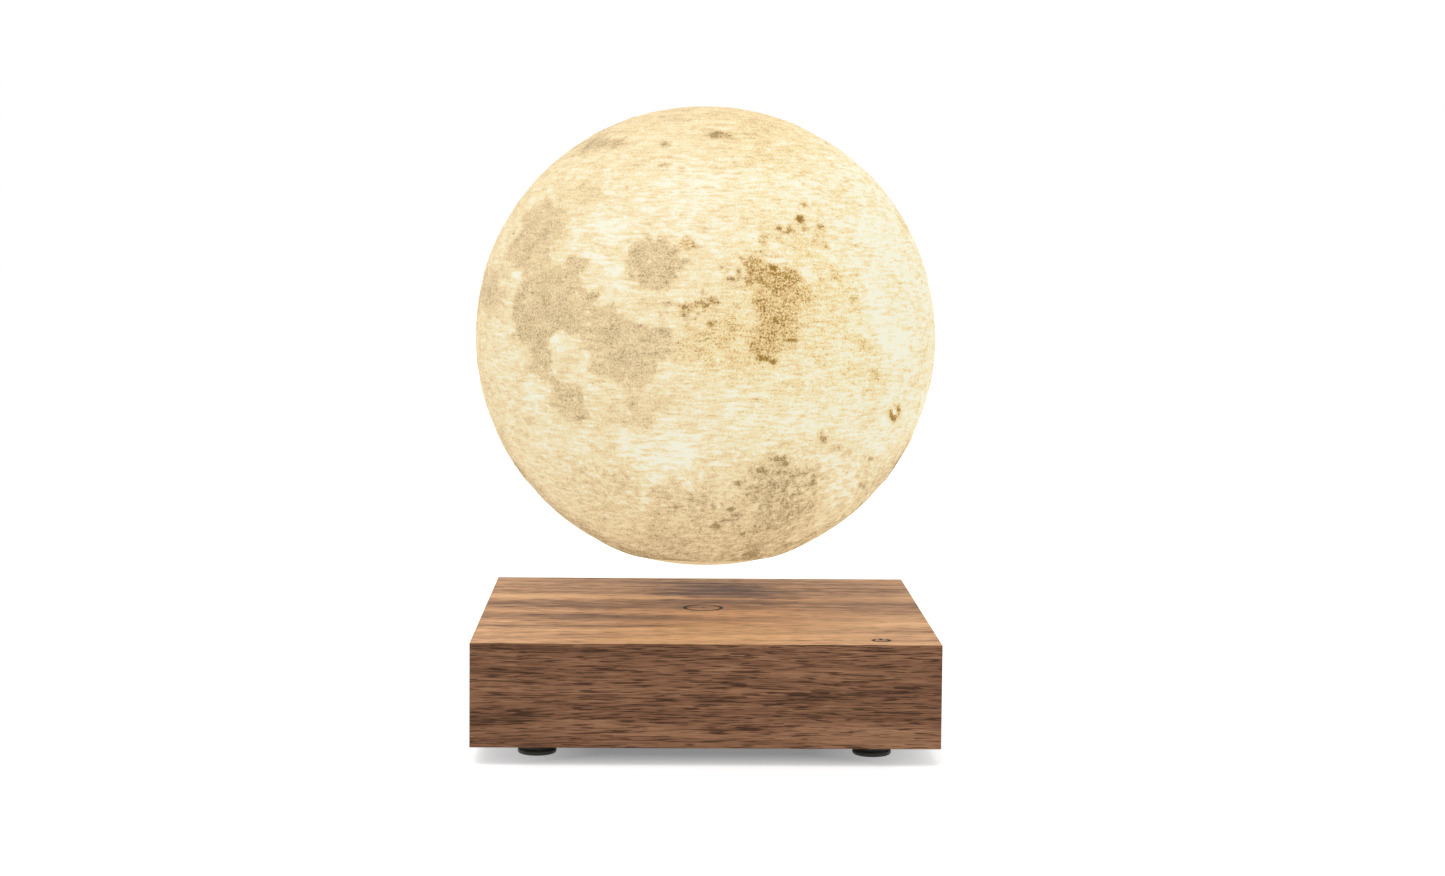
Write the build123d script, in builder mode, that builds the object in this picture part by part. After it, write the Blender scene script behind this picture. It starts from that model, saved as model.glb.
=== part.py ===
"""Levitating moon lamp: a printed moon that floats and turns over a walnut box.

Millimetres. The origin is on the table under the middle of the box, +Z points up
and -Y points to the front, where the touch mark is.
"""

import os
from math import asin, cos, pi, radians, sin, sqrt

from build123d import *

os.makedirs("parts", exist_ok=True)

# Walnut box: four sides and a top, all mitred from boards of one thickness
base_side = 170.0
base_height = 38.0
panel_wall = 6.0
foot_stand = 6.5
inlet_hole_radius = 6.0

# Glue blocks in the box's corners
block_side = 24.0
block_headroom = 2.3

# Bottom plate and its screws
plate_thickness = 3.0
plate_recess = 1.0
plate_clearance = 0.3
plate_screw_inset = 12.5
screw_radius = 1.5
screw_head_radius = 3.0
screw_head_height = 1.7
screw_length = 13.0
screw_clearance = 0.15
hole_sides = 12

# Rubber feet
foot_inset = 23.3
foot_flange_radius = 8.6
foot_neck_radius = 6.2
foot_pad_radius = 6.9
foot_pad_height = 3.4
foot_neck_height = 0.8
foot_flange_edge = 0.9

# Levitation stack, from the top panel down to the bottom plate
cover_clearance = 0.2
transmit_thickness = 2.0
transmit_outer_radius = 35.0
transmit_band = 13.0
tray_thickness = 1.2
tray_rim = 2.0
magnet_height = 14.0
magnet_band = 16.0
magnet_sides = 48
yoke_thickness = 1.5
yoke_margin = 2.0
board_thickness = 1.6
board_margin = 5.0
notch_clearance = 1.0
service_strip = 18.0

# Lifting coils inside the ring magnet
coil_count = 4
coil_margin = 1.0
coil_gap = 0.6
core_clearance = 0.2
bobbin_wall = 1.0
bobbin_flange_thickness = 1.0
bobbin_flange_edge = 1.2
winding_clearance = 0.2
winding_band = 6.0
coil_sides = 16
flange_sides = 8

# Magnetic field sensors between the coils
sensor_post_side = 7.0
sensor_post_drop = 4.0
sensor_width = 4.0
sensor_height = 3.0
sensor_thickness = 1.5

# Board standoffs and screws
standoff_width = 5.5
standoff_inset = 6.0
standoff_pitch = 92.0
board_screw_radius = 1.25
board_screw_head_radius = 2.4
board_screw_head_height = 1.6
board_screw_tip_gap = 0.5

# Parts on the control board
chip_length = 12.0
chip_width = 10.0
chip_height = 2.2
chip_pitch = 22.0
sink_length = 44.0
sink_width = 12.0
sink_height = 12.0
sink_base = 3.0
sink_fin = 1.2
sink_fin_count = 5
capacitor_radius = 4.0
capacitor_height = 12.0
capacitor_pitch = 12.0
capacitor_count = 3
processor_side = 9.0
processor_height = 1.4
connector_length = 10.0
connector_width = 5.0
connector_height = 6.0

# Power inlet, a barrel socket on the board behind the back panel
inlet_width = 9.0
inlet_length = 14.0
inlet_axis_height = 6.5
inlet_nose_radius = 4.5
inlet_bore_radius = 3.15
inlet_bore_depth = 10.0
inlet_pin_radius = 1.05
inlet_pin_recess = 1.0
inlet_panel_gap = 0.3

# Touch switch under the front right corner of the top
touch_side_inset = 21.3
touch_front_inset = 10.2
touch_pad_radius = 3.8
touch_pad_thickness = 0.3
touch_board_length = 14.0
touch_board_width = 10.0
touch_board_gap = 0.4
touch_board_thickness = 1.0

# Flat leads inside the box and the moon
lead_thickness = 0.9
lead_width = 4.0
lead_bend = 2.5
lead_drop = 3.5

# Printed moon
moon_radius = 89.0
moon_gap = 17.0
moon_wall = 1.6
moon_sides = 48
moon_inner_sides = 32
crown_radius = 0.6
opening_radius = 27.3
opening_edge = 1.0
collar_thickness = 2.5

# Craters large enough to dent the print's outline: turn to the right of the
# front and climb above the equator in degrees, and rim radius as a share of
# the moon's radius
crater_shares = (
    (20.5, 28.2, 0.040),
    (15.2, 24.6, 0.036),
    (6.6, 15.8, 0.040),
    (60.5, -19.3, 0.046),
    (5.0, 60.0, 0.070),
    (128.0, 12.0, 0.090),
    (171.0, -22.0, 0.120),
    (-152.0, 31.0, 0.100),
)
crater_depth_share = 0.16

# Float cup that closes the moon and carries its magnet
lip_clearance = 0.2
cap_bands = 3
lip_width = 2.7
lip_thickness = 1.4
cap_flattening = 1.0
cup_wall = 1.4
float_magnet_radius = 20.0
float_magnet_height = 10.0
float_clearance = 0.3
receiver_ledge = 0.8
receiver_thickness = 1.2
receiver_headroom = 4.6
receiver_clearance = 0.2
receiver_chip_side = 7.0
receiver_chip_height = 2.0
receiver_chip_pitch = 16.0
receiver_coil_height = 5.0
receiver_coil_clearance = 0.2
receiver_coil_band = 4.2
lid_thickness = 1.6
lid_spigot_height = 1.5
lid_spigot_wall = 1.4

# Lamp inside the moon
post_height = 22.0
post_width = 10.0
post_wall = 1.5
led_board_thickness = 1.6
led_count = 6
led_circle_radius = 9.0
led_side = 3.5
led_height = 1.8
diffuser_radius = 18.0
diffuser_top_radius = 13.0
diffuser_skirt = 6.0
diffuser_height = 14.0
diffuser_wall = 1.2
diffuser_sides = 24


# Heights and reaches that follow from the sizes above
base_half = base_side / 2
inner_half = base_half - panel_wall
base_top = foot_stand + base_height
cavity_top = base_top - panel_wall
plate_bottom = foot_stand + plate_recess
plate_top = plate_bottom + plate_thickness
transmit_bottom = cavity_top - cover_clearance - transmit_thickness
tray_bottom = transmit_bottom - tray_thickness
magnet_bottom = tray_bottom - magnet_height
yoke_bottom = magnet_bottom - yoke_thickness
board_bottom = yoke_bottom - board_thickness
board_top = yoke_bottom
board_half = inner_half - board_margin
notch_half = inner_half - block_side - notch_clearance
magnet_outer_radius = board_half - service_strip
magnet_inner_radius = magnet_outer_radius - magnet_band
coil_room = magnet_inner_radius - coil_margin
bobbin_flange_radius = coil_room * sin(pi / coil_count) / (1 + sin(pi / coil_count)) - coil_gap / 2
coil_circle_radius = coil_room - bobbin_flange_radius
winding_outer_radius = bobbin_flange_radius - bobbin_flange_edge
winding_inner_radius = winding_outer_radius - winding_band
barrel_radius = winding_inner_radius - winding_clearance
bobbin_bore_radius = barrel_radius - bobbin_wall
core_radius = bobbin_bore_radius - core_clearance
transmit_inner_radius = transmit_outer_radius - transmit_band
yoke_half = magnet_outer_radius + yoke_margin
strip_centre = (yoke_half + board_half) / 2
touch_x = base_half - touch_side_inset
touch_y = touch_front_inset - base_half
touch_board_top = cavity_top - touch_pad_thickness
touch_board_bottom = touch_board_top - touch_board_thickness
touch_board_y = touch_board_gap + touch_board_width / 2 - inner_half
lead_level = touch_board_bottom - lead_drop
block_centre = inner_half - block_side / 2
block_height = lead_level - lead_thickness - block_headroom - plate_top
plate_screw_reach = base_half - plate_screw_inset
foot_reach = base_half - foot_inset
standoff_reach = board_half - standoff_inset
inlet_axis = board_top + inlet_axis_height
inlet_mouth = inner_half - inlet_panel_gap
moon_centre = base_top + moon_gap + moon_radius


def save(builder, name):
    """Label a finished piece and write its file."""
    builder.part.label = name
    export_step(builder.part, f"parts/{name}.step")


def corners(reach_x, reach_y):
    """The four mirrored places of a piece that sits in each corner."""
    return [(x, y) for x in (-reach_x, reach_x) for y in (-reach_y, reach_y)]


def faceted(rings, sides, centre=(0, 0)):
    """A solid of flat facets through many-sided rings, given as radius and height, lowest first."""
    loops = [
        [
            (
                centre[0] + radius * cos(2 * pi * side / sides),
                centre[1] + radius * sin(2 * pi * side / sides),
                height,
            )
            for side in range(sides)
        ]
        for radius, height in rings
    ]
    faces = [Face(Wire.make_polygon(loops[0][::-1])), Face(Wire.make_polygon(loops[-1]))]
    for lower, upper in zip(loops, loops[1:]):
        for side in range(sides):
            after = (side + 1) % sides
            facet = [lower[side], lower[after], upper[after], upper[side]]
            faces.append(Face(Wire.make_polygon(facet)))
    return Solid(Shell(faces))


# Top panel, bevelled at 45 degrees on its four edges
with BuildPart(Plane((0, 0, base_top), x_dir=(1, 0, 0), z_dir=(0, 1, 0))) as top_panel:
    Wedge(
        base_side,
        panel_wall,
        base_side,
        panel_wall,
        panel_wall,
        base_side - panel_wall,
        base_side - panel_wall,
        align=(Align.CENTER, Align.MIN, Align.CENTER),
    )
save(top_panel, "top_panel")


def side_panel(turn):
    """One side board, bevelled where it meets the top and its two neighbours."""
    with BuildPart(Plane.XY.offset(foot_stand).rotated((0, 0, turn))) as panel:
        with Locations((0, -base_half, 0)):
            Wedge(
                base_side,
                panel_wall,
                base_height,
                panel_wall,
                0,
                base_side - panel_wall,
                base_height - panel_wall,
                align=(Align.CENTER, Align.MIN, Align.MIN),
            )
    return panel


save(side_panel(0), "front_panel")
save(side_panel(90), "right_panel")
save(side_panel(-90), "left_panel")

# Back panel, drilled for the plug of the power supply
with BuildPart() as back_panel:
    add(side_panel(180).part)
    with BuildSketch(Plane.XZ.offset(-inner_half)):
        with Locations((0, inlet_axis)):
            Circle(inlet_hole_radius)
    extrude(amount=-panel_wall, mode=Mode.SUBTRACT)
save(back_panel, "back_panel")

# Glue blocks, each with a pilot hole for its plate screw
block_places = {
    "corner_block_front_left": (-1, -1),
    "corner_block_front_right": (1, -1),
    "corner_block_back_left": (-1, 1),
    "corner_block_back_right": (1, 1),
}
for name, (side_x, side_y) in block_places.items():
    with BuildPart() as block:
        with BuildSketch(Plane.XY.offset(plate_top)):
            with Locations((side_x * block_centre, side_y * block_centre)):
                Rectangle(block_side, block_side)
            with Locations((side_x * plate_screw_reach, side_y * plate_screw_reach)):
                RegularPolygon(screw_radius + screw_clearance, hole_sides, mode=Mode.SUBTRACT)
        extrude(amount=block_height)
    save(block, name)

# Bottom plate, set up into the box and countersunk for four screws
screw_places = corners(plate_screw_reach, plate_screw_reach)
with BuildPart() as bottom_plate:
    with BuildSketch(Plane.XY.offset(plate_bottom)):
        plate_side = 2 * (inner_half - plate_clearance)
        Rectangle(plate_side, plate_side)
    extrude(amount=plate_thickness)
    for place in screw_places:
        sink_rings = [
            (screw_head_radius + screw_clearance, plate_bottom),
            (screw_radius + screw_clearance, plate_bottom + screw_head_height),
            (screw_radius + screw_clearance, plate_top),
        ]
        add(faceted(sink_rings, hole_sides, place), mode=Mode.SUBTRACT)
save(bottom_plate, "bottom_plate")

# Countersunk screws that hold the plate to the glue blocks
with BuildPart() as plate_screws:
    for place in screw_places:
        screw_rings = [
            (screw_head_radius, plate_bottom),
            (screw_radius, plate_bottom + screw_head_height),
            (screw_radius, plate_bottom + screw_length),
        ]
        add(faceted(screw_rings, hole_sides, place))
save(plate_screws, "plate_screws")

# Rubber feet: a pad, a neck and a flange that widens up to the plate
with BuildPart() as feet:
    for x, y in corners(foot_reach, foot_reach):
        with BuildSketch(Plane(origin=(x, y, 0), x_dir=(1, 0, 0), z_dir=(0, -1, 0))):
            with BuildLine():
                neck_top = foot_pad_height + foot_neck_height
                flange_low = plate_bottom - plate_recess - foot_flange_edge
                Polyline(
                    (0, 0),
                    (foot_pad_radius, 0),
                    (foot_pad_radius, foot_pad_height),
                    (foot_neck_radius, neck_top),
                    (foot_flange_radius, flange_low),
                    (foot_flange_radius, plate_bottom),
                    (0, plate_bottom),
                    close=True,
                )
            make_face()
        revolve(axis=Axis((x, y, 0), (0, 0, 1)))
save(feet, "feet")

# Hexagonal standoffs under the control board
standoff_places = corners(standoff_reach, standoff_pitch / 2)
with BuildPart() as standoffs:
    with BuildSketch(Plane.XY.offset(plate_top)):
        with Locations(*standoff_places):
            RegularPolygon(standoff_width / 2, 6, major_radius=False)
    extrude(amount=board_bottom - plate_top)
    with BuildSketch(Plane.XY.offset(board_bottom)):
        with Locations(*standoff_places):
            RegularPolygon(board_screw_radius + screw_clearance, hole_sides, major_radius=False)
    extrude(amount=plate_top - board_bottom, mode=Mode.SUBTRACT)
save(standoffs, "standoffs")

# Control board, notched round the glue blocks
with BuildPart() as control_board:
    with BuildSketch(Plane.XY.offset(board_bottom)):
        Rectangle(2 * board_half, 2 * notch_half)
        Rectangle(2 * notch_half, 2 * board_half)
        with Locations(*standoff_places):
            RegularPolygon(
                board_screw_radius + screw_clearance,
                hole_sides,
                major_radius=False,
                mode=Mode.SUBTRACT,
            )
    extrude(amount=board_thickness)
save(control_board, "control_board")

# Screws through the board into the threaded standoffs
board_screw_length = board_top - plate_top - board_screw_tip_gap
with BuildPart() as board_screws:
    with BuildSketch(Plane.XY.offset(board_top)):
        with Locations(*standoff_places):
            RegularPolygon(board_screw_head_radius, 6)
    extrude(amount=board_screw_head_height)
    with BuildSketch(Plane.XY.offset(board_top)):
        with Locations(*standoff_places):
            RegularPolygon(board_screw_radius, hole_sides)
    extrude(amount=-board_screw_length)
save(board_screws, "board_screws")

# Steel yoke plate, eight-sided, which closes the magnetic circuit below
with BuildPart() as yoke_plate:
    with BuildSketch(Plane.XY.offset(yoke_bottom)):
        RegularPolygon(yoke_half, flange_sides, major_radius=False, rotation=180 / flange_sides)
    extrude(amount=yoke_thickness)
save(yoke_plate, "yoke_plate")

# Ring magnet that carries the weight of the moon
with BuildPart() as ring_magnet:
    with BuildSketch(Plane.XY.offset(magnet_bottom)):
        RegularPolygon(magnet_outer_radius, magnet_sides)
        RegularPolygon(magnet_inner_radius, magnet_sides, mode=Mode.SUBTRACT)
    extrude(amount=magnet_height)
save(ring_magnet, "ring_magnet")

# Four steering coils, two to an axis: a moulded bobbin, its winding and its core
winding_height = magnet_height - 2 * bobbin_flange_thickness
for index in range(coil_count):
    turn = 360 / coil_count * index
    x = coil_circle_radius * cos(radians(turn))
    y = coil_circle_radius * sin(radians(turn))
    stand = Plane(origin=(x, y, magnet_bottom))
    with BuildPart() as bobbin:
        for height in (0, magnet_height - bobbin_flange_thickness):
            with BuildSketch(stand.offset(height)):
                RegularPolygon(bobbin_flange_radius, flange_sides)
            extrude(amount=bobbin_flange_thickness)
        with BuildSketch(stand):
            RegularPolygon(barrel_radius, coil_sides)
        extrude(amount=magnet_height)
        with BuildSketch(stand):
            RegularPolygon(bobbin_bore_radius, coil_sides)
        extrude(amount=magnet_height, mode=Mode.SUBTRACT)
    save(bobbin, f"coil_bobbin_{index + 1}")
    with BuildPart() as winding:
        with BuildSketch(stand.offset(bobbin_flange_thickness)):
            RegularPolygon(winding_outer_radius, coil_sides)
            RegularPolygon(winding_inner_radius, coil_sides, mode=Mode.SUBTRACT)
        extrude(amount=winding_height)
    save(winding, f"coil_winding_{index + 1}")
    with BuildPart() as core:
        with BuildSketch(stand):
            RegularPolygon(core_radius, coil_sides)
        extrude(amount=magnet_height)
    save(core, f"coil_core_{index + 1}")

# Post between the coils that holds the field sensors
post_top = tray_bottom - sensor_post_drop
with BuildPart() as hall_holder:
    with BuildSketch(Plane.XY.offset(magnet_bottom)):
        Rectangle(sensor_post_side, sensor_post_side)
    extrude(amount=post_top - magnet_bottom)
save(hall_holder, "hall_holder")

# Three field sensors: one flat on the post, one for each sideways direction
with BuildPart() as hall_sensors:
    with BuildSketch(Plane.XY.offset(post_top)):
        Rectangle(sensor_width, sensor_height)
    extrude(amount=sensor_thickness)
    with BuildSketch(Plane.YZ.offset(sensor_post_side / 2)):
        with Locations((0, post_top - sensor_height / 2)):
            Rectangle(sensor_width, sensor_height)
    extrude(amount=sensor_thickness)
    with BuildSketch(Plane.XZ.offset(sensor_post_side / 2)):
        with Locations((0, post_top - sensor_height / 2)):
            Rectangle(sensor_width, sensor_height)
    extrude(amount=sensor_thickness)
save(hall_sensors, "hall_sensors")

# Moulded tray over the magnet and the coils
with BuildPart() as coil_tray:
    with BuildSketch(Plane.XY.offset(tray_bottom)):
        RegularPolygon(yoke_half, coil_sides, major_radius=False)
    extrude(amount=tray_thickness)
    with BuildSketch(Plane.XY.offset(transmit_bottom)):
        RegularPolygon(transmit_inner_radius - winding_clearance, coil_sides)
        RegularPolygon(
            transmit_inner_radius - winding_clearance - tray_rim, coil_sides, mode=Mode.SUBTRACT
        )
    extrude(amount=transmit_thickness)
save(coil_tray, "coil_tray")

# Flat coil that sends power up to the moon
with BuildPart() as transmit_coil:
    with BuildSketch(Plane.XY.offset(transmit_bottom)):
        RegularPolygon(transmit_outer_radius, 2 * coil_sides)
        RegularPolygon(transmit_inner_radius, 2 * coil_sides, major_radius=False, mode=Mode.SUBTRACT)
    extrude(amount=transmit_thickness)
save(transmit_coil, "transmit_coil")

# Driver chips in the left strip of the board, under their heat sink
with BuildPart() as driver_chips:
    with BuildSketch(Plane.XY.offset(board_top)):
        with Locations(
            (-strip_centre, -chip_pitch / 2),
            (-strip_centre, chip_pitch / 2),
        ):
            Rectangle(chip_width, chip_length)
    extrude(amount=chip_height)
save(driver_chips, "driver_chips")

# Finned aluminium heat sink on the driver chips
sink_bottom = board_top + chip_height
with BuildPart() as heat_sink:
    with BuildSketch(Plane.XZ.offset(-sink_length / 2)):
        with Locations((-strip_centre, sink_bottom + sink_base / 2)):
            Rectangle(sink_width, sink_base)
        fin_pitch = (sink_width - sink_fin) / (sink_fin_count - 1)
        with Locations((-strip_centre, sink_bottom + sink_height / 2)):
            with GridLocations(fin_pitch, 0, sink_fin_count, 1):
                Rectangle(sink_fin, sink_height)
    extrude(amount=sink_length)
save(heat_sink, "heat_sink")

# Smoothing capacitors in the right strip
with BuildPart() as capacitors:
    with BuildSketch(Plane.XY.offset(board_top)):
        with Locations((strip_centre, 0)):
            with GridLocations(0, capacitor_pitch, 1, capacitor_count):
                RegularPolygon(capacitor_radius, coil_sides)
    extrude(amount=capacitor_height)
save(capacitors, "capacitors")

# Processor in the front strip
with BuildPart() as processor:
    with BuildSketch(Plane.XY.offset(board_top)):
        with Locations((-connector_length * 2, -strip_centre)):
            Rectangle(processor_side, processor_side)
    extrude(amount=processor_height)
save(processor, "processor")

# Sockets for the coil's and the touch switch's leads
touch_socket_x = notch_half - connector_length / 2
touch_socket_y = connector_width / 2 - board_half
with BuildPart() as lead_sockets:
    with BuildSketch(Plane.XY.offset(board_top)):
        with Locations((0, -strip_centre), (touch_socket_x, touch_socket_y)):
            Rectangle(connector_length, connector_width)
    extrude(amount=connector_height)
save(lead_sockets, "lead_sockets")

# Power socket: a rectangular body with a round nose and a blind bore
with BuildPart() as inlet_housing:
    with BuildSketch(Plane.XZ.offset(-inlet_mouth)):
        with Locations((0, inlet_axis)):
            Circle(inlet_nose_radius)
        with Locations((0, board_top + inlet_axis_height / 2)):
            Rectangle(inlet_width, inlet_axis_height)
    extrude(amount=inlet_length)
    with BuildSketch(Plane.XZ.offset(-inlet_mouth)):
        with Locations((0, inlet_axis)):
            Circle(inlet_bore_radius)
    extrude(amount=inlet_bore_depth, mode=Mode.SUBTRACT)
save(inlet_housing, "inlet_housing")

# Centre pin of the power socket
with BuildPart() as inlet_pin:
    with BuildSketch(Plane.XZ.offset(inlet_bore_depth - inlet_mouth)):
        with Locations((0, inlet_axis)):
            Circle(inlet_pin_radius)
    extrude(amount=-(inlet_bore_depth - inlet_pin_recess))
save(inlet_pin, "inlet_pin")

# Touch pad of copper foil against the underside of the top
with BuildPart() as touch_pad:
    with BuildSketch(Plane.XY.offset(cavity_top)):
        with Locations((touch_x, touch_y)):
            RegularPolygon(touch_pad_radius, coil_sides)
    extrude(amount=-touch_pad_thickness)
save(touch_pad, "touch_pad")

# Touch switch board under its pad
with BuildPart() as touch_board:
    with BuildSketch(Plane.XY.offset(touch_board_bottom)):
        with Locations((touch_x, touch_board_y)):
            Rectangle(touch_board_length, touch_board_width)
    extrude(amount=touch_board_thickness)
save(touch_board, "touch_board")


def flat_lead(plane, points, name):
    """A flat lead of even thickness along rounded corners, lying in the plane."""
    with BuildPart() as lead:
        with BuildSketch(plane.offset(-lead_width / 2)):
            with BuildLine():
                FilletPolyline(*points, radius=lead_bend)
                offset(amount=lead_thickness, side=Side.LEFT, closed=True)
            make_face()
        extrude(amount=lead_width)
    save(lead, name)


# Lead from the touch board down to its socket
socket_top = board_top + connector_height
flat_lead(
    Plane.XZ.offset(-touch_socket_y),
    (
        (touch_x - touch_board_length / 4, touch_board_bottom),
        (touch_x - touch_board_length / 4, lead_level),
        (touch_socket_x, lead_level),
        (touch_socket_x, socket_top),
    ),
    "touch_lead",
)

# Lead from the transmitting coil over the tray to its socket
flat_lead(
    Plane.YZ,
    (
        (-strip_centre, socket_top),
        (-strip_centre, transmit_bottom),
        (-transmit_outer_radius, transmit_bottom),
    ),
    "transmit_lead",
)


def ball_rings(radius, sides, foot_height):
    """The rings of a ball round the moon's centre, cut flat at a height below its centre."""
    step = 2 * pi / sides
    foot_angle = asin(-foot_height / radius)
    angles = [-foot_angle]
    angles += [step * ring for ring in range(-int(foot_angle / step), sides // 4)]
    angles += [pi / 2 - asin(crown_radius / radius)]
    return [(radius * cos(angle), moon_centre + radius * sin(angle)) for angle in angles]


# Printed moon: a many-sided shell with a collar round its opening
seat_radius = opening_radius + lip_width
rim_radius = seat_radius + opening_edge
rim_height = -sqrt(moon_radius**2 - rim_radius**2)
seat_height = rim_height + lip_thickness
collar_top = seat_height + collar_thickness
with BuildPart() as moon_shell:
    add(faceted(ball_rings(moon_radius, moon_sides, rim_height), moon_sides))
    hollow_rings = ball_rings(moon_radius - moon_wall, moon_inner_sides, collar_top)
    add(faceted(hollow_rings, moon_inner_sides), mode=Mode.SUBTRACT)
    with BuildSketch(Plane.XY.offset(moon_centre + rim_height)):
        RegularPolygon(seat_radius, moon_sides)
    extrude(amount=lip_thickness, mode=Mode.SUBTRACT)
    with BuildSketch(Plane.XY.offset(moon_centre + seat_height)):
        RegularPolygon(opening_radius, moon_sides)
    extrude(amount=collar_thickness, mode=Mode.SUBTRACT)
    bowls = []
    for turn, climb, radius_share in crater_shares:
        crater_radius = radius_share * moon_radius
        crater_depth = crater_depth_share * crater_radius
        bowl_radius = (crater_radius**2 + crater_depth**2) / (2 * crater_depth)
        reach = moon_radius + bowl_radius - crater_depth
        level = reach * cos(radians(climb))
        bowl_place = (
            level * sin(radians(turn)),
            -level * cos(radians(turn)),
            moon_centre + reach * sin(radians(climb)),
        )
        with Locations(bowl_place):
            bowls += Sphere(bowl_radius, mode=Mode.PRIVATE).solids()
    add(bowls, mode=Mode.SUBTRACT)
save(moon_shell, "moon_shell")

# Float cup: a flatter cap under the moon, and the pot that holds its magnet
lip_radius = seat_radius - lip_clearance
cap_height = -moon_radius + cap_flattening
cup_bore_radius = float_magnet_radius + float_clearance
ledge_radius = cup_bore_radius + receiver_ledge
cup_radius = ledge_radius + cup_wall
cap_sag = rim_height - cap_height
cap_radius = (lip_radius**2 + cap_sag**2) / (2 * cap_sag)
cap_centre = cap_height + cap_radius
cup_floor = cap_centre - sqrt(cap_radius**2 - cup_bore_radius**2) + cup_wall
magnet_foot = cup_floor + float_clearance
receiver_bottom = magnet_foot + float_magnet_height + float_clearance
receiver_top = receiver_bottom + receiver_thickness
cup_top = receiver_top + receiver_headroom
cap_rings = []
for ring in range(1, cap_bands + 1):
    ring_radius = lip_radius * ring / cap_bands
    cap_rings.append((ring_radius, moon_centre + cap_centre - sqrt(cap_radius**2 - ring_radius**2)))
cap_rings.append((lip_radius, moon_centre + seat_height))
with BuildPart() as float_cup:
    add(faceted(cap_rings, moon_sides))
    with BuildSketch(Plane.XY.offset(moon_centre + seat_height)):
        RegularPolygon(cup_radius, 2 * coil_sides)
    extrude(amount=cup_top - seat_height)
    with BuildSketch(Plane.XY.offset(moon_centre + cup_floor)):
        Circle(cup_bore_radius)
    extrude(amount=receiver_bottom - cup_floor, mode=Mode.SUBTRACT)
    with BuildSketch(Plane.XY.offset(moon_centre + receiver_bottom)):
        RegularPolygon(ledge_radius, 2 * coil_sides)
    extrude(amount=cup_top - receiver_bottom, mode=Mode.SUBTRACT)
save(float_cup, "float_cup")

# Disc magnet that the ring magnet lifts
with BuildPart() as float_magnet:
    with BuildSketch(Plane.XY.offset(moon_centre + magnet_foot)):
        Circle(float_magnet_radius)
    extrude(amount=float_magnet_height)
save(float_magnet, "float_magnet")

# Receiving coil wound round the pot, on the cup's lip
receiver_coil_radius = cup_radius + receiver_coil_clearance
with BuildPart() as receiver_coil:
    with BuildSketch(Plane.XY.offset(moon_centre + seat_height)):
        RegularPolygon(receiver_coil_radius + receiver_coil_band, 2 * coil_sides)
        RegularPolygon(receiver_coil_radius, 2 * coil_sides, major_radius=False, mode=Mode.SUBTRACT)
    extrude(amount=receiver_coil_height)
save(receiver_coil, "receiver_coil")

# Receiver board on the ledge over the magnet
with BuildPart() as receiver_board:
    with BuildSketch(Plane.XY.offset(moon_centre + receiver_bottom)):
        RegularPolygon(ledge_radius - receiver_clearance, 2 * coil_sides)
        Rectangle(lead_width, lead_width, mode=Mode.SUBTRACT)
    extrude(amount=receiver_thickness)
save(receiver_board, "receiver_board")

# Rectifier and regulator on the receiver board
with BuildPart() as receiver_chips:
    with BuildSketch(Plane.XY.offset(moon_centre + receiver_top)):
        with GridLocations(receiver_chip_pitch, 0, 2, 1):
            Rectangle(receiver_chip_side, receiver_chip_side)
    extrude(amount=receiver_chip_height)
save(receiver_chips, "receiver_chips")

# Lid that snaps into the cup, open in the middle for the lamp's lead
lid_bottom = cup_top
lid_top = lid_bottom + lid_thickness
spigot_radius = ledge_radius - receiver_clearance
lead_hole = lead_width + 2 * receiver_clearance
with BuildPart() as float_lid:
    with BuildSketch(Plane.XY.offset(moon_centre + lid_bottom)):
        RegularPolygon(cup_radius, 2 * coil_sides)
        Rectangle(lead_hole, lead_hole, mode=Mode.SUBTRACT)
    extrude(amount=lid_thickness)
    with BuildSketch(Plane.XY.offset(moon_centre + lid_bottom)):
        RegularPolygon(spigot_radius, 2 * coil_sides)
        RegularPolygon(spigot_radius - lid_spigot_wall, 2 * coil_sides, mode=Mode.SUBTRACT)
    extrude(amount=-lid_spigot_height)
save(float_lid, "float_lid")

# Hexagonal post that lifts the lamp into the moon
post_foot = moon_centre + lid_top
with BuildPart() as lamp_post:
    with BuildSketch(Plane.XY.offset(post_foot)):
        RegularPolygon(post_width / 2, 6, major_radius=False)
        RegularPolygon(post_width / 2 - post_wall, 6, major_radius=False, mode=Mode.SUBTRACT)
    extrude(amount=post_height)
save(lamp_post, "lamp_post")

# Lead up the post from the receiver board to the lamp
lamp_level = post_foot + post_height
with BuildPart() as lamp_lead:
    with BuildSketch(Plane.XY.offset(moon_centre + receiver_top)):
        Rectangle(lead_width, lead_thickness)
    extrude(amount=lamp_level - moon_centre - receiver_top)
save(lamp_lead, "lamp_lead")

# Lamp board on the post, as wide as the cap that stands on it
with BuildPart() as led_board:
    with BuildSketch(Plane.XY.offset(lamp_level)):
        RegularPolygon(diffuser_radius, diffuser_sides)
    extrude(amount=led_board_thickness)
save(led_board, "led_board")

# Ring of light-emitting chips
led_level = lamp_level + led_board_thickness
with BuildPart() as leds:
    with BuildSketch(Plane.XY.offset(led_level)):
        with PolarLocations(led_circle_radius, led_count):
            Rectangle(led_side, led_side)
    extrude(amount=led_height)
save(leds, "leds")

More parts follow.
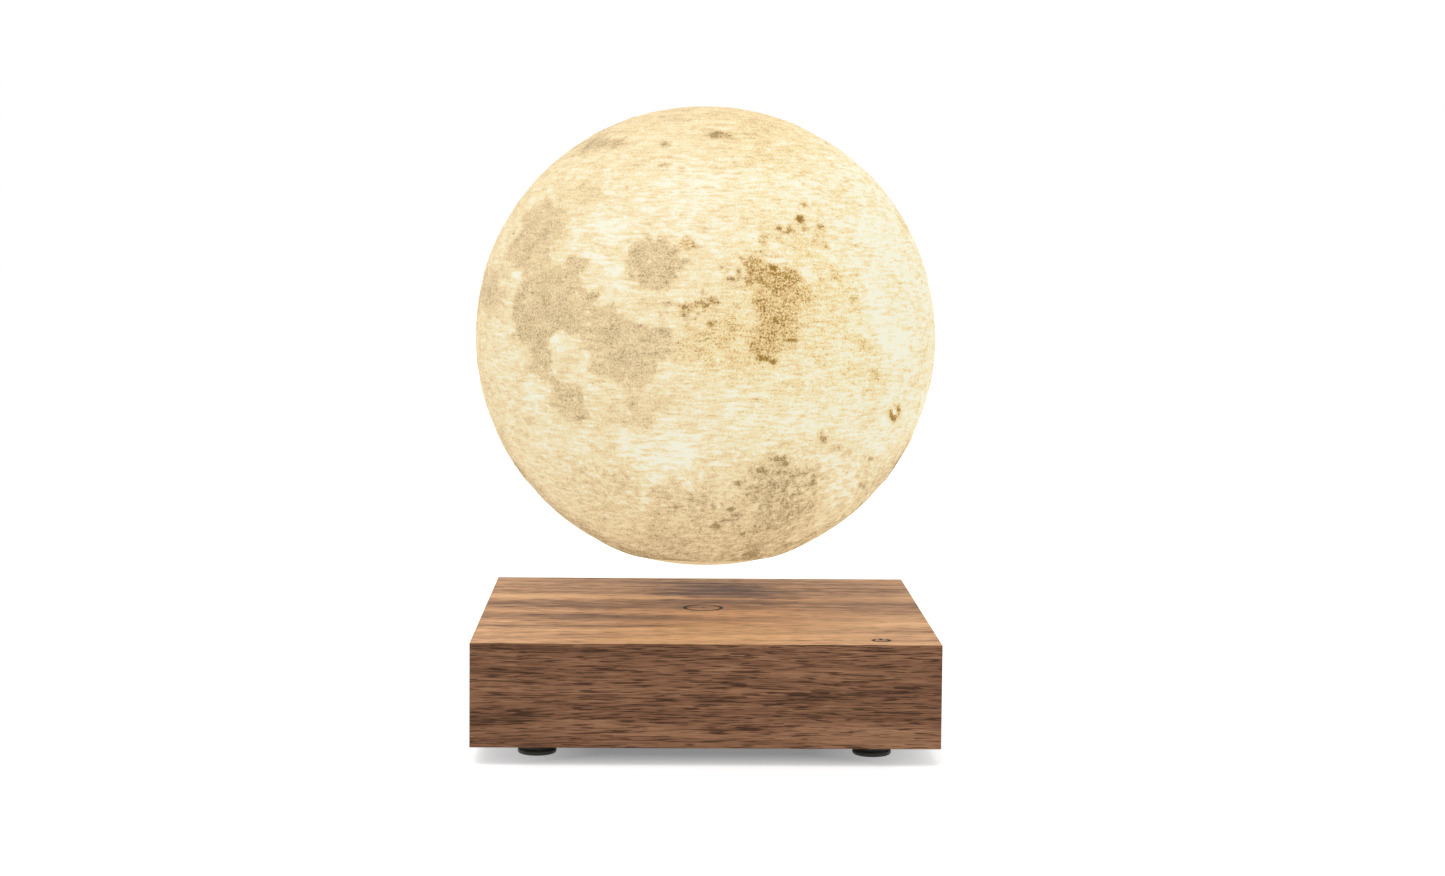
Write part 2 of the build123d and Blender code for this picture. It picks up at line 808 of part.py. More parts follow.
# Frosted cap over the lamp board
skirt_level = led_level + diffuser_skirt
cap_level = led_level + diffuser_height
with BuildPart() as led_diffuser:
    outer_rings = [
        (diffuser_radius, led_level),
        (diffuser_radius, skirt_level),
        (diffuser_top_radius, cap_level),
    ]
    add(faceted(outer_rings, diffuser_sides))
    inner_rings = [
        (diffuser_radius - diffuser_wall, led_level),
        (diffuser_radius - diffuser_wall, skirt_level),
        (diffuser_top_radius - diffuser_wall, cap_level - diffuser_wall),
    ]
    add(faceted(inner_rings, diffuser_sides), mode=Mode.SUBTRACT)
save(led_diffuser, "led_diffuser")
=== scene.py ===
"""Levitating moon lamp: a glowing printed moon that floats over a walnut box.

Metres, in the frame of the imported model: the origin is on the table under the
middle of the box, +Z points up and -Y points to the front.
"""

from math import asin, cos, pi, radians, sin, sqrt

import bmesh
import bpy
import numpy as np
from mathutils import Matrix, Vector, noise


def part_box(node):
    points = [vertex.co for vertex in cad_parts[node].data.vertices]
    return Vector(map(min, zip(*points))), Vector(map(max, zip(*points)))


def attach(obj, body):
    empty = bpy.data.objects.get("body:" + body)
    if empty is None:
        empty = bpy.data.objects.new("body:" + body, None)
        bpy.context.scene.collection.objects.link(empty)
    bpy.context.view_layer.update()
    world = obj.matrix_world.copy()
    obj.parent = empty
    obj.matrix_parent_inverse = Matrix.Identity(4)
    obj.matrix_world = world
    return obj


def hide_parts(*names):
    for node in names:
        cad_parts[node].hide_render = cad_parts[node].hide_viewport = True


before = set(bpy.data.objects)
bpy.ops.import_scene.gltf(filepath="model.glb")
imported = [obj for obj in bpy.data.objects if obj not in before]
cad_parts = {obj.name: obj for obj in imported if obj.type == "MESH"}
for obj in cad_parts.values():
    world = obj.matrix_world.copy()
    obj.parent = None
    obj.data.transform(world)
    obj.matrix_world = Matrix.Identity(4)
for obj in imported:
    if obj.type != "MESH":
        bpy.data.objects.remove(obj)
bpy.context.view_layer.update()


# Camera: the photograph was taken from a metre in front of the lamp, a little
# above the middle of the moon, and turned by a degree to the right.
MM = 0.001
photo_width = 1445
focal_in_pixels = 2701.55
sensor = 36
camera_place = Vector((-16.59, -1044.57, 203.05)) * MM
yaw, pitch, roll = radians(1.294), radians(5.015), radians(0.504)

looking = Vector((sin(yaw) * cos(pitch), cos(yaw) * cos(pitch), -sin(pitch)))
level = Vector((cos(yaw), -sin(yaw), 0))
upright = level.cross(looking)
camera_right = cos(roll) * level + sin(roll) * upright
camera_up = -sin(roll) * level + cos(roll) * upright

bpy.ops.object.camera_add()
camera = bpy.context.object
camera.data.sensor_width = sensor
camera.data.lens = sensor * focal_in_pixels / photo_width
turned_axes = Matrix((camera_right, camera_up, -looking)).transposed().to_4x4()
camera.matrix_world = Matrix.Translation(camera_place) @ turned_axes
bpy.context.scene.camera = camera
bpy.context.scene.view_settings.view_transform = "Standard"


# Studio: a white floor under a white sky. The camera sees both as white paper,
# and the floor keeps the soft shadow of the box, with a painted shadow around
# the box where the paper's own light is dimmed. From below the floor is clear.
floor_reach = 6
floor_tone, seen_tone = 0.62, 0.86
sky_tone = 0.42
# The paper's own light, weak near the box to paint its shadow: from and to in
# metres, and how strong it is there
under_front = (0.06, 0.079, 0.2, 0.42)
before_front = (0.098, 0.124, 0, 0.24)
beside_box = (0.04, 0.092, 0.24, 0.64)
far_away = (0.124, 1.8, 0, 0.29)


def connect(node, wires):
    """Link a node's sockets to other sockets, or give them plain values."""
    for socket, value in wires.items():
        if isinstance(value, bpy.types.NodeSocket):
            tree.links.new(value, node.inputs[socket])
        else:
            node.inputs[socket].default_value = value


def wire(kind, wires, **settings):
    """A shader node with its settings, linked and given its values."""
    made = tree.nodes.new("ShaderNode" + kind)
    for name, value in settings.items():
        setattr(made, name, value)
    connect(made, wires)
    return made


def maths(operation, *values):
    """One sum on plain values, ready to be linked."""
    return wire("Math", dict(enumerate(values)), operation=operation).outputs[0]


def times(first, second):
    """Two values multiplied."""
    return maths("MULTIPLY", first, second)


def blend(factor, first, second, way="MIX"):
    """Two colours mixed by a factor."""
    wires = {0: factor, 6: first, 7: second}
    return wire("Mix", wires, data_type="RGBA", blend_type=way).outputs[2]


def spread(value, low, high, to_low=0, to_high=1):
    """A value stretched from one span to another and held within it."""
    wires = {"Value": value, "From Min": low, "From Max": high, "To Min": to_low, "To Max": to_high}
    return wire("MapRange", wires).outputs[0]


def on_object():
    """Where a point lies on the object itself."""
    return wire("TexCoord", {}).outputs["Object"]


def seen_directly():
    """1 for what the camera or a mirror sees, 0 for the light thrown on things."""
    path = wire("LightPath", {}).outputs
    return maths("MAXIMUM", path["Is Camera Ray"], path["Is Glossy Ray"])


def new_material(name):
    """An empty material. The shader nodes made from now on go into its tree."""
    global tree
    made = bpy.data.materials.new(name)
    made.use_nodes = True
    tree = made.node_tree
    tree.nodes.clear()
    return made


def finish_shader(shader):
    """Link the finished shader to the material's output."""
    wire("OutputMaterial", {"Surface": shader.outputs[0]})


bpy.ops.object.select_all(action="DESELECT")
bpy.ops.mesh.primitive_plane_add(size=2 * floor_reach)
floor = bpy.context.object
floor.name = "studio_floor"
paper = new_material("studio_paper")
direct = seen_directly()
paper_tone = blend(direct, (floor_tone,) * 3 + (1,), (seen_tone,) * 3 + (1,))
matt = wire("BsdfDiffuse", {"Color": paper_tone})
place = wire("SeparateXYZ", {0: on_object()}).outputs
sideways, forward = maths("ABSOLUTE", place["X"]), maths("ABSOLUTE", place["Y"])
# Painted shadow: the paper gives off less light close to the box.
in_front = maths("ADD", spread(forward, *under_front), spread(forward, *before_front))
near_box = maths("MAXIMUM", in_front, spread(sideways, *beside_box))
beyond = spread(maths("MAXIMUM", sideways, forward), *far_away)
lift_level = times(direct, maths("ADD", near_box, beyond))
lift = wire("Emission", {"Color": (1, 1, 1, 1), "Strength": lift_level})
lit = wire("AddShader", {0: matt.outputs[0], 1: lift.outputs[0]})
clear = wire("BsdfTransparent", {})
from_below = wire("NewGeometry", {}).outputs["Backfacing"]
finish_shader(wire("MixShader", {0: from_below, 1: lit.outputs[0], 2: clear.outputs[0]}))
floor.data.materials.append(paper)

world = bpy.data.worlds.new("studio_sky")
world.use_nodes = True
bpy.context.scene.world = world
tree = world.node_tree
tree.nodes.clear()
sky_level = spread(seen_directly(), 0, 1, sky_tone, 1)
sky = wire("Background", {"Color": (1, 1, 1, 1), "Strength": sky_level})
wire("OutputWorld", {"Surface": sky.outputs[0]})

softboxes = (((-0.25, -0.35, 1.5), 1.5, 13), ((0.9, -1.6, 0.9), 1, 4))
for place, side, power in softboxes:
    bpy.ops.object.light_add(type="AREA", location=place)
    softbox = bpy.context.object
    softbox.data.size = side
    softbox.data.energy = power
    softbox.rotation_mode = "QUATERNION"
    aim = Vector((0, 0, 0.1)) - softbox.location
    softbox.rotation_quaternion = aim.to_track_quat("-Z", "Y")


# Walnut: oiled, open-pored wood. Growth rings run along the board, and each
# board reads them from its own place in the log.
def colour(red, green, blue):
    """A colour read off a screen, 0 to 255, made linear."""
    shares = [value / 255 for value in (red, green, blue)]
    linear = [((share + 0.055) / 1.055) ** 2.4 if share > 0.04 else share / 12.92 for share in shares]
    return (*linear, 1)


def group(name, inputs, outputs):
    """An empty node group, its inputs (None stands for a vector) and its outputs node."""
    global tree
    tree = bpy.data.node_groups.new(name, "ShaderNodeTree")
    for socket, value in inputs.items():
        kind = "Vector" if value is None else "Color" if isinstance(value, tuple) else "Float"
        made = tree.interface.new_socket(socket, in_out="INPUT", socket_type="NodeSocket" + kind)
        if value is not None:
            made.default_value = value
    for socket in outputs:
        kind = "Color" if socket == "Color" else "Float"
        tree.interface.new_socket(socket, in_out="OUTPUT", socket_type="NodeSocket" + kind)
    return tree, tree.nodes.new("NodeGroupInput").outputs, tree.nodes.new("NodeGroupOutput")


def vectors(operation, *values):
    """One sum on vectors."""
    return wire("VectorMath", dict(enumerate(values)), operation=operation).outputs


def stretched(vector, factors):
    """Coordinates multiplied along each axis."""
    return vectors("MULTIPLY", vector, factors)[0]


def clouds(vector, scale, detail, roughness=0.5, **more):
    """Noise that lies about 0.5."""
    wires = {"Vector": vector, "Scale": scale, "Detail": detail, "Roughness": roughness, **more}
    return wire("TexNoise", wires).outputs[0]


def swing(cloud, depth, middle):
    """A value that swings with the noise about its middle."""
    return maths("MULTIPLY_ADD", maths("SUBTRACT", cloud, 0.5), depth, middle)


def surface(tint, roughness, height, strength, depth, more):
    """Finish a material, with the depth of its relief in millimetres."""
    raised = wire("Bump", {"Height": height, "Strength": strength, "Distance": depth * MM})
    wires = {"Base Color": tint, "Roughness": roughness, "Normal": raised.outputs[0], **more}
    finish_shader(wire("BsdfPrincipled", wires))


# The group's default tones are the top board's. They are paler than the sides' box_tones, partly a paler board
# and partly painted light from above.
tones = {"Pale": colour(254, 203, 147), "Middle": colour(216, 163, 117), "Dark": colour(112, 78, 52)}
inputs = {"Log": None, **tones, **dict.fromkeys(("Waver", "Streaks", "Rings", "Figure and shadow"), 0)}
walnut_grain, given, put_out = group("walnut_grain", inputs, ["Color", "Height", "Roughness"])
drift = clouds(stretched(given["Log"], (7, 26, 26)), 1, 3, 0.45).node.outputs["Color"]
drift = vectors("SUBTRACT", drift, (0.5, 0.5, 0.5))[0]
drift = wire("VectorMath", {0: drift, "Scale": given["Waver"]}, operation="SCALE").outputs[0]
in_log = vectors("ADD", given["Log"], drift)[0]
across = vectors("LENGTH", stretched(in_log, (0, 1, 1)))["Value"]
along = wire("SeparateXYZ", {0: in_log}).outputs["X"]
ring_count = times(maths("MULTIPLY_ADD", along, 0.03, across), 150)
slow_along = wire("CombineXYZ", {"X": times(along, 5)}).outputs[0]
wires = {"Vector": slow_along, "W": ring_count, "Scale": 1, "Detail": 4, "Roughness": 0.62}
rings = wire("TexNoise", wires, noise_dimensions="4D").outputs[0]
fibres = clouds(stretched(in_log, (75, 2200, 2200)), 1, 4, 0.68)
vessels = clouds(stretched(in_log, (100, 2300, 2300)), 1, 1)
# Figure bands darken or pale the rings. On the top they also carry a painted shadow.
rings_figure_and_shadow = swing(rings, given["Rings"], 0.5)
crowded = maths("MULTIPLY_ADD", given["Figure and shadow"], 1.4, rings_figure_and_shadow)
rings_figure_and_shadow = maths("MULTIPLY_ADD", given["Figure and shadow"], 0.75, rings_figure_and_shadow)
crowding = spread(crowded, 0.62, 0.36, -0.02, 0.07)
pores = spread(maths("ADD", vessels, crowding), 0.58, 0.63)
bands = swing(fibres, given["Streaks"], rings_figure_and_shadow)
tint = blend(spread(bands, 0.3, 0.5), given["Dark"], given["Middle"])
tint = blend(spread(bands, 0.5, 0.68), tint, given["Pale"])
in_pores = blend(0.45, given["Dark"], (0.01, 0.006, 0.004, 1))
wires = {
    "Color": blend(times(pores, 0.8), tint, in_pores),
    "Height": maths("SUBTRACT", times(fibres, 0.25), pores),
    "Roughness": spread(pores, 0, 1, 0.5, 0.7),
}
connect(put_out, wires)

band_inputs = ("Along", "Across", "Middle", "Slope", "Half", "From", "To", "Strength")
wood_band, given, put_out = group("wood_band", dict.fromkeys(band_inputs, 0), ["Figure and shadow"])
run, over = given["Along"], given["Across"]
path = wire("CombineXYZ", {"X": run, "Y": times(over, 6)})
wander = clouds(path.outputs[0], 26, 4, 0.6)
line = maths("MULTIPLY_ADD", run, given["Slope"], given["Middle"])
line = swing(wander, 0.008, line)
off = maths("DIVIDE", maths("SUBTRACT", over, line), given["Half"])
core = maths("EXPONENT", times(times(off, off), -1))
for end, start in ((run, given["From"]), (given["To"], run)):
    core = times(core, spread(maths("SUBTRACT", end, start), -0.004, 0.006))
broken = times(core, spread(wander, 0.36, 0.62, 0.45, 1.2))
connect(put_out, {"Figure and shadow": times(broken, given["Strength"])})


def walnut(name, log_place, log_turn=0, tones={}, waver=0.006, streaks=0.62, rings=0.6, bands=(), across="Z"):
    """Oiled walnut, read from one place in the log."""
    made = new_material(name)
    inside = on_object()
    place = wire("SeparateXYZ", {0: inside}).outputs
    figure_and_shadow = 0
    for middle, slope, half_band, begin, end, strength in bands:
        values = (middle * MM, slope, half_band * MM, begin * MM, end * MM, strength)
        wires = dict(zip(band_inputs, (place["X"], place[across], *values)))
        band = wire("Group", wires, node_tree=wood_band)
        figure_and_shadow = maths("ADD", figure_and_shadow, band.outputs["Figure and shadow"])
    wires = {"Vector": inside, "Location": log_place, "Rotation": (0, 0, log_turn)}
    log = wire("Mapping", wires).outputs[0]
    wires = {"Log": log, "Waver": waver, "Streaks": streaks, "Rings": rings, "Figure and shadow": figure_and_shadow, **tones}
    grain = wire("Group", wires, node_tree=walnut_grain).outputs
    surface(grain["Color"], grain["Roughness"], grain["Height"], 0.35, 0.1, {"Specular IOR Level": 0.14})
    return made


# Box: five walnut boards with mitred edges, glued, and sanded to a fine bevel.
# The hole for the plug is drilled through the back board.
box_side = 170 * MM
board = 6 * MM
sanded_edge = 0.15 * MM
top_low, top_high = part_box("top_panel")
front_low, front_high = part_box("front_panel")
back_hole = 6 * MM
hole_edge = 0.5 * MM
inlet_height = 26.1 * MM
# The sides' tones, darker than the top's: partly the board and partly painted shade on the upright faces.
box_tones = {"Pale": colour(197, 148, 113), "Middle": colour(157, 112, 83), "Dark": colour(80, 53, 37)}

# Bands as the photograph shows them: middle, slope, half width, from and to, and
# how much paler (or darker, below 0) the band is
front_bands = (
    (18.5, 0.02, 2, -90, -58, -0.2), (24, 0.05, 1.2, -62, 34, -0.1), (23.6, 0.04, 1.5, 22, 90, -0.18),
    (14, 0, 0.8, -2, 24, -0.24), (29, 0.04, 1.3, 0, 90, -0.08), (35, 0, 1.4, -90, -56, -0.1),
    (15.3, 0, 1.7, -90, -30, 0.1), (42.4, 0, 1.2, -90, 90, -0.08), (12, 0.02, 3, 34, 90, 0.06),
)
# The last nine top bands, dark over the middle of the back half, are a painted shadow of the moon, drawn as
# dark streaks in the grain.
top_bands_and_painted_shadow = (
    (52, 0, 6, -90, 90, -0.09), (32, 0, 6.5, -90, 90, 0.13), (16, 0, 5, -90, 90, -0.05),
    (2, 0, 6, -90, 90, -0.08), (-19, 0, 5, -90, -8, -0.12), (-36, 0, 5.5, -90, 90, 0.13),
    (-45, 0, 1.3, -90, -14, -0.2), (-74, 0, 10, -90, 90, 0.11), (69, 0, 4, -24, 22, -0.14),
    (61, 0, 4.5, -12, 30, -0.28), (53, 0, 4, -26, 20, -0.26), (46, 0, 4, -10, 38, -0.26),
    (38, 0, 4.5, -20, 26, -0.24), (30, 0, 4, -8, 44, -0.22), (22, 0, 3.5, -18, 30, -0.2),
    (14, 0, 4, -26, 34, -0.16), (5, 0, 3.5, -14, 40, -0.12),
)


def edit_whole():
    """Go into edit mode with everything selected."""
    bpy.ops.object.mode_set(mode="EDIT")
    bpy.ops.mesh.select_all(action="SELECT")


def select_faces(piece, wanted):
    """Select the faces that a test picks, in edit mode."""
    bpy.ops.mesh.select_all(action="DESELECT")
    work = bmesh.from_edit_mesh(piece.data)
    work.faces.ensure_lookup_table()
    for face in work.faces:
        if wanted(face):
            face.select_set(True)
    bmesh.update_edit_mesh(piece.data)


def start_cube(name, size, middle):
    """A block at its place, ready in edit mode with everything selected."""
    bpy.ops.object.select_all(action="DESELECT")
    bpy.ops.mesh.primitive_cube_add(size=1, location=middle)
    piece = bpy.context.object
    piece.name = name
    piece.scale = size
    bpy.ops.object.transform_apply(location=True, rotation=True, scale=True)
    edit_whole()
    return piece


def sand(planes):
    """Cut the sharp edges off along planes, given as a point and a direction."""
    for point, direction in planes:
        bpy.ops.mesh.select_all(action="SELECT")
        bpy.ops.mesh.bisect(plane_co=point, plane_no=direction, use_fill=True, clear_outer=True)


def close_shape(piece, threshold=0.001 * MM):
    """Leave edit mode with every face pointing outwards."""
    bpy.ops.mesh.select_all(action="SELECT")
    bpy.ops.mesh.remove_doubles(threshold=threshold)
    bpy.ops.mesh.normals_make_consistent(inside=False)
    bpy.ops.object.mode_set(mode="OBJECT")
    return piece


def pick(piece):
    """Make a piece the active one, and the only one selected."""
    bpy.ops.object.select_all(action="DESELECT")
    piece.select_set(True)
    bpy.context.view_layer.objects.active = piece


def carve(piece, tool):
    """Cut a tool's shape out of a piece, and put the tool away."""
    cut = piece.modifiers.new("carved", "BOOLEAN")
    cut.operation = "DIFFERENCE"
    cut.solver = "EXACT"
    cut.object = tool
    pick(piece)
    bpy.ops.object.modifier_apply(modifier=cut.name)
    bpy.data.objects.remove(tool)


def moved_copy(piece, name, move):
    """A copy of a piece, turned or carried to its own place."""
    made = piece.copy()
    made.data = piece.data.copy()
    made.name = name
    bpy.context.collection.objects.link(made)
    made.data.transform(move)
    return made


def turned(name, profile, sides, middle=(0, 0)):
    """A piece turned on a lathe, from radii and heights."""
    x, y = middle
    radius, height = profile[0]
    bpy.ops.object.select_all(action="DESELECT")
    bpy.ops.mesh.primitive_circle_add(vertices=sides, radius=radius, location=(x, y, height))
    piece = bpy.context.object
    piece.name = name
    bpy.ops.object.transform_apply(location=True, rotation=True, scale=True)
    edit_whole()
    for next_radius, next_height in profile[1:]:
        rise = {"value": (0, 0, next_height - height)}
        bpy.ops.mesh.extrude_region_move(TRANSFORM_OT_translate=rise)
        factor = next_radius / radius
        bpy.ops.transform.resize(value=(factor, factor, 1), center_override=(x, y, next_height))
        radius, height = next_radius, next_height
    bpy.ops.mesh.select_all(action="SELECT")
    bpy.ops.mesh.remove_doubles(threshold=0.0005 * MM)
    bpy.ops.mesh.fill_holes(sides=0)
    return close_shape(piece)


half = box_side / 2
sanded = half - sanded_edge
top_panel = start_cube("walnut_top", (box_side, box_side, board), (0, 0, top_high.z - board / 2))
select_faces(top_panel, lambda face: face.normal.z < -0.5)
inner = (box_side - 2 * board) / box_side
bpy.ops.transform.resize(value=(inner, inner, 1), center_override=(0, 0, top_low.z))
sides = ((1, 0), (-1, 0), (0, 1), (0, -1))
sand([((x * sanded, y * sanded, top_high.z), (x, y, 1)) for x, y in sides])
close_shape(top_panel)

front_rise = front_high.z - front_low.z
front_middle = (front_low + front_high) / 2
front_panel = start_cube("walnut_front", (box_side, board, front_rise), (0, front_middle.y, front_middle.z))
select_faces(front_panel, lambda face: face.normal.y > 0.5)
shorter = 1 - board / front_rise
bpy.ops.transform.resize(value=(inner, 1, shorter), center_override=(0, front_high.y, front_low.z))
front_edges = [
    ((0, front_low.y, front_high.z - sanded_edge), (0, -1, 1)),
    ((0, front_low.y, front_low.z + sanded_edge), (0, -1, -1)),
    ((sanded, front_low.y, 0), (1, -1, 0)), ((-sanded, front_low.y, 0), (-1, -1, 0)),
]
sand(front_edges)
close_shape(front_panel)

right_panel = moved_copy(front_panel, "walnut_right", Matrix.Rotation(pi / 2, 4, "Z"))
back_panel = moved_copy(front_panel, "walnut_back", Matrix.Rotation(pi, 4, "Z"))
left_panel = moved_copy(front_panel, "walnut_left", Matrix.Rotation(-pi / 2, 4, "Z"))

hole_mouth = back_hole + hole_edge
drill_profile = [(back_hole, -board - 1 * MM), (back_hole, -hole_edge), (hole_mouth, 0), (hole_mouth, 1 * MM)]
drill = turned("drill", drill_profile, 72)
drill.data.transform(Matrix.Translation((0, half, inlet_height)) @ Matrix.Rotation(-pi / 2, 4, "X"))
carve(back_panel, drill)

top_look = {"waver": 0.0025, "rings": 0.8, "bands": top_bands_and_painted_shadow, "across": "Y"}
boards = (
    (top_panel, "top_panel", (0.11, 0.031, 0.028), 0, top_look),
    (front_panel, "front_panel", (0.4, 0.094, 0.018), 0, {"tones": box_tones, "bands": front_bands}),
    (back_panel, "back_panel", (0.9, -0.075, 0.022), 0, {"tones": box_tones, "waver": 0.008}),
    (right_panel, "right_panel", (0.7, 0.1, 0.015), -pi / 2, {"tones": box_tones, "waver": 0.007}),
    (left_panel, "left_panel", (1.3, 0.07, 0.02), -pi / 2, {"tones": box_tones, "waver": 0.008}),
)
for piece, node, log_place, log_turn, look in boards:
    piece.data.materials.clear()
    piece.data.materials.append(walnut("walnut_" + node.replace("panel", "board"), log_place, log_turn, **look))
    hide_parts(node)
    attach(piece, "base")


# Marks: a ring in the middle of the top, over which the moon is held to find
# its place, and the touch switch's sign, both burnt into the wood.
mark_depth = 0.05 * MM
ring_radius = 7.2 * MM
ring_place = (0, 2 * MM)
ring_line = 1.5 * MM
dot_radius = 0.8 * MM
sign_place = (63.7 * MM, -74.8 * MM)
sign_radius = 3 * MM
sign_line = 1.35 * MM
sign_gap = radians(76)


def burnt_arc(name, middle, radius, line, start, sweep):
    """A tool for an arc-shaped groove."""
    x, y = middle
    arc = start_cube(name, (line, line / 8, 2 * mark_depth), (x + radius, y, top_high.z))
    bpy.ops.object.mode_set(mode="OBJECT")
    swung = Matrix.Rotation(start, 4, "Z")
    arc.data.transform(Matrix.Translation((x, y, 0)) @ swung @ Matrix.Translation((-x, -y, 0)))
    bpy.ops.object.mode_set(mode="EDIT")
    facing = swung @ Vector((0, 1, 0))
    select_faces(arc, lambda face: face.normal.dot(facing) > 0.5)
    bpy.ops.mesh.spin(steps=72, angle=-sweep, center=(x, y, 0), axis=(0, 0, 1))
    return close_shape(arc)


groove_low, groove_high = top_high.z - mark_depth, top_high.z + mark_depth
ring_in, ring_out = ring_radius - ring_line / 2, ring_radius + ring_line / 2
ring_walls = [(ring_in, groove_low), (ring_out, groove_low), (ring_out, groove_high), (ring_in, groove_high)]
carve(top_panel, turned("ring_tool", [*ring_walls, ring_walls[0]], 96, ring_place))
sign_start, sign_sweep = (pi + sign_gap) / 2, 2 * pi - sign_gap
carve(top_panel, burnt_arc("sign_tool", sign_place, sign_radius, sign_line, sign_start, sign_sweep))
stroke_size = (sign_line, 1.1 * sign_radius, 2 * mark_depth)
stroke_place = (sign_place[0], sign_place[1] + 0.75 * sign_radius, top_high.z)
carve(top_panel, close_shape(start_cube("stroke_tool", stroke_size, stroke_place)))
carve(top_panel, turned("dot_tool", [(dot_radius, groove_low), (dot_radius, groove_high)], 24, ring_place))

burnt = new_material("burnt_walnut")
char = clouds(on_object(), 1500, 3)
surface(blend(char, colour(12, 8, 6), colour(28, 19, 13)), 0.85, char, 0.5, 0.05, {})
top_panel.data.materials.append(burnt)
for face in top_panel.data.polygons:
    middle = face.center
    inboard = max(abs(middle.x), abs(middle.y)) < half - 2 * board
    in_sign = (middle - Vector((*sign_place, middle.z))).length < 2 * sign_radius
    if (inboard or in_sign) and top_high.z - 2 * mark_depth < middle.z < top_high.z - 0.01 * MM:
        face.material_index = 1


# Feet: turned rubber, with a flange against the plate, a neck, and a pad whose
# edge is rounded by the mould. They are glued into the corners of the plate.
foot_reach = 61.7 * MM
foot_profile = (
    (0.3, 0), (5.9, 0), (6.4, 0.06), (6.8, 0.25), (7.1, 0.6), (7.2, 1), (7.2, 1.3), (7.05, 1.7),
    (6.75, 1.93), (6.2, 2), (6.05, 2.15), (6, 3.9), (6.1, 4.3), (8.3, 5.45), (8.54, 5.68), (8.6, 6),
    (8.6, 7.25), (8.45, 7.5), (0.3, 7.5),
)


def faded(tint, factor):
    """A colour made darker or paler."""
    return [min(channel * factor, 1) for channel in tint[:3]] + [1]


def dull(name, tint, roughness, scale, variety, depth=0.02, metallic=0):
    """A finely speckled finish, for moulded or rolled stock."""
    made = new_material(name)
    inside = on_object()
    speck = clouds(inside, scale, 3)
    cloud = clouds(inside, scale / 12, 2)
    mottle = maths("MULTIPLY_ADD", maths("SUBTRACT", speck, cloud), variety, 0.5)
    mixed = blend(mottle, faded(colour(*tint), 0.6), faded(colour(*tint), 1.4))
    worn = spread(cloud, 0.3, 0.7, roughness * 0.85, min(roughness * 1.15, 1))
    surface(mixed, worn, speck, 0.6, depth, {"Metallic": metallic})
    return made


def smooth(piece, sharpest):
    """Shade a piece smooth, up to a sharpest angle in degrees."""
    pick(piece)
    bpy.ops.object.shade_smooth_by_angle(angle=radians(sharpest))


def with_copies(first, name, reach, corners):
    """A piece and its copies at the other corners, numbered in turn."""
    pieces = [first]
    for number, (x, y) in enumerate(corners, 2):
        step = Matrix.Translation((2 * reach * x, 2 * reach * y, 0))
        pieces.append(moved_copy(first, f"{name}_{number}", step))
    return pieces


rubber = dull("foot_rubber", (86, 84, 76), 0.42, 1400, 0.25)
foot_points = [(radius * MM, height * MM) for radius, height in foot_profile]
first_foot = turned("foot_1", foot_points, 96, (-foot_reach, -foot_reach))
for foot in with_copies(first_foot, "foot", foot_reach, ((0, 1), (1, 0), (1, 1))):
    foot.data.materials.append(rubber)
    smooth(foot, 50)
    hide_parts("feet")
    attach(foot, "base")


# Moon: printed layer by layer in cream plastic, thicker in the dark plains and
# at the crater walls, so that the lamp inside draws the moon's face in light.
moon_radius = 89
moon_height = 150.5
moon_middle = Vector((0, 0, moon_height)) * MM
moon_skin = 88.62
moon_limit = 88.97
rim_drop = -83.43
seat_rise = 1.4
collar_rise = 2.5
wall_radius = 87.2
rim_radius, seat_radius, opening_radius = 31, 30, 27.3
grid_cuts = 47
lamp_strength = 0.73

moon = start_cube("printed_moon", (2, 2, 2), (0, 0, 0))
bpy.ops.mesh.subdivide(number_cuts=grid_cuts)
bpy.ops.mesh.subdivide(number_cuts=1)
select_faces(moon, lambda face: face.normal.y < -0.5)
bpy.ops.mesh.subdivide(number_cuts=1)
bpy.ops.object.mode_set(mode="OBJECT")

grid = np.array([vertex.co for vertex in moon.data.vertices])
grid = np.tan(grid * pi / 4)
outward = grid / np.linalg.norm(grid, axis=1, keepdims=True)

# The photograph's side of the moon, measured as on a ruler held to its disc:
# millimetres to the right of the middle and above it.
disc_shift = 0.3
to_camera = camera_place - moon_middle
eye_distance = to_camera.length / MM
toward = np.array(to_camera.normalized())
ruler_right = np.array((camera_right - camera_right.project(to_camera)).normalized())
ruler_up = np.cross(toward, ruler_right)
disc_scale = sqrt(eye_distance**2 - moon_radius**2)
depth_away = eye_distance - moon_radius * (outward @ toward)
seen_right = moon_radius * (outward @ ruler_right) / depth_away * disc_scale + disc_shift
seen_up = moon_radius * (outward @ ruler_up) / depth_away * disc_scale - disc_shift


def rough(scale, octaves, shift=0):
    """Fractal noise at every point of the moon, about -1 to 1."""
    moved = outward * scale + shift
    return np.array([noise.fractal(Vector(point), 0.9, 2.1, octaves) for point in moved])


broad = rough(2.1, 4, 3.7)
middling = rough(6.5, 4, 11.3)
fine = rough(19, 3, 5.1)
mottle = rough(48, 2, 91)


def fade(values, start, run):
    """0 to 1, while the values run their way from a start."""
    return np.clip((values - start) / run, 0, 1)


facing = fade(outward @ toward, 0.04, 0.12)
shore_right = seen_right + 1.6 * rough(9, 2, 31) + 1.5 * rough(30, 2, 47) + rough(75, 2, 13)
shore_up = seen_up + 1.4 * rough(9, 2, 63) + 1.2 * rough(30, 2, 79) + 0.8 * rough(75, 2, 17)


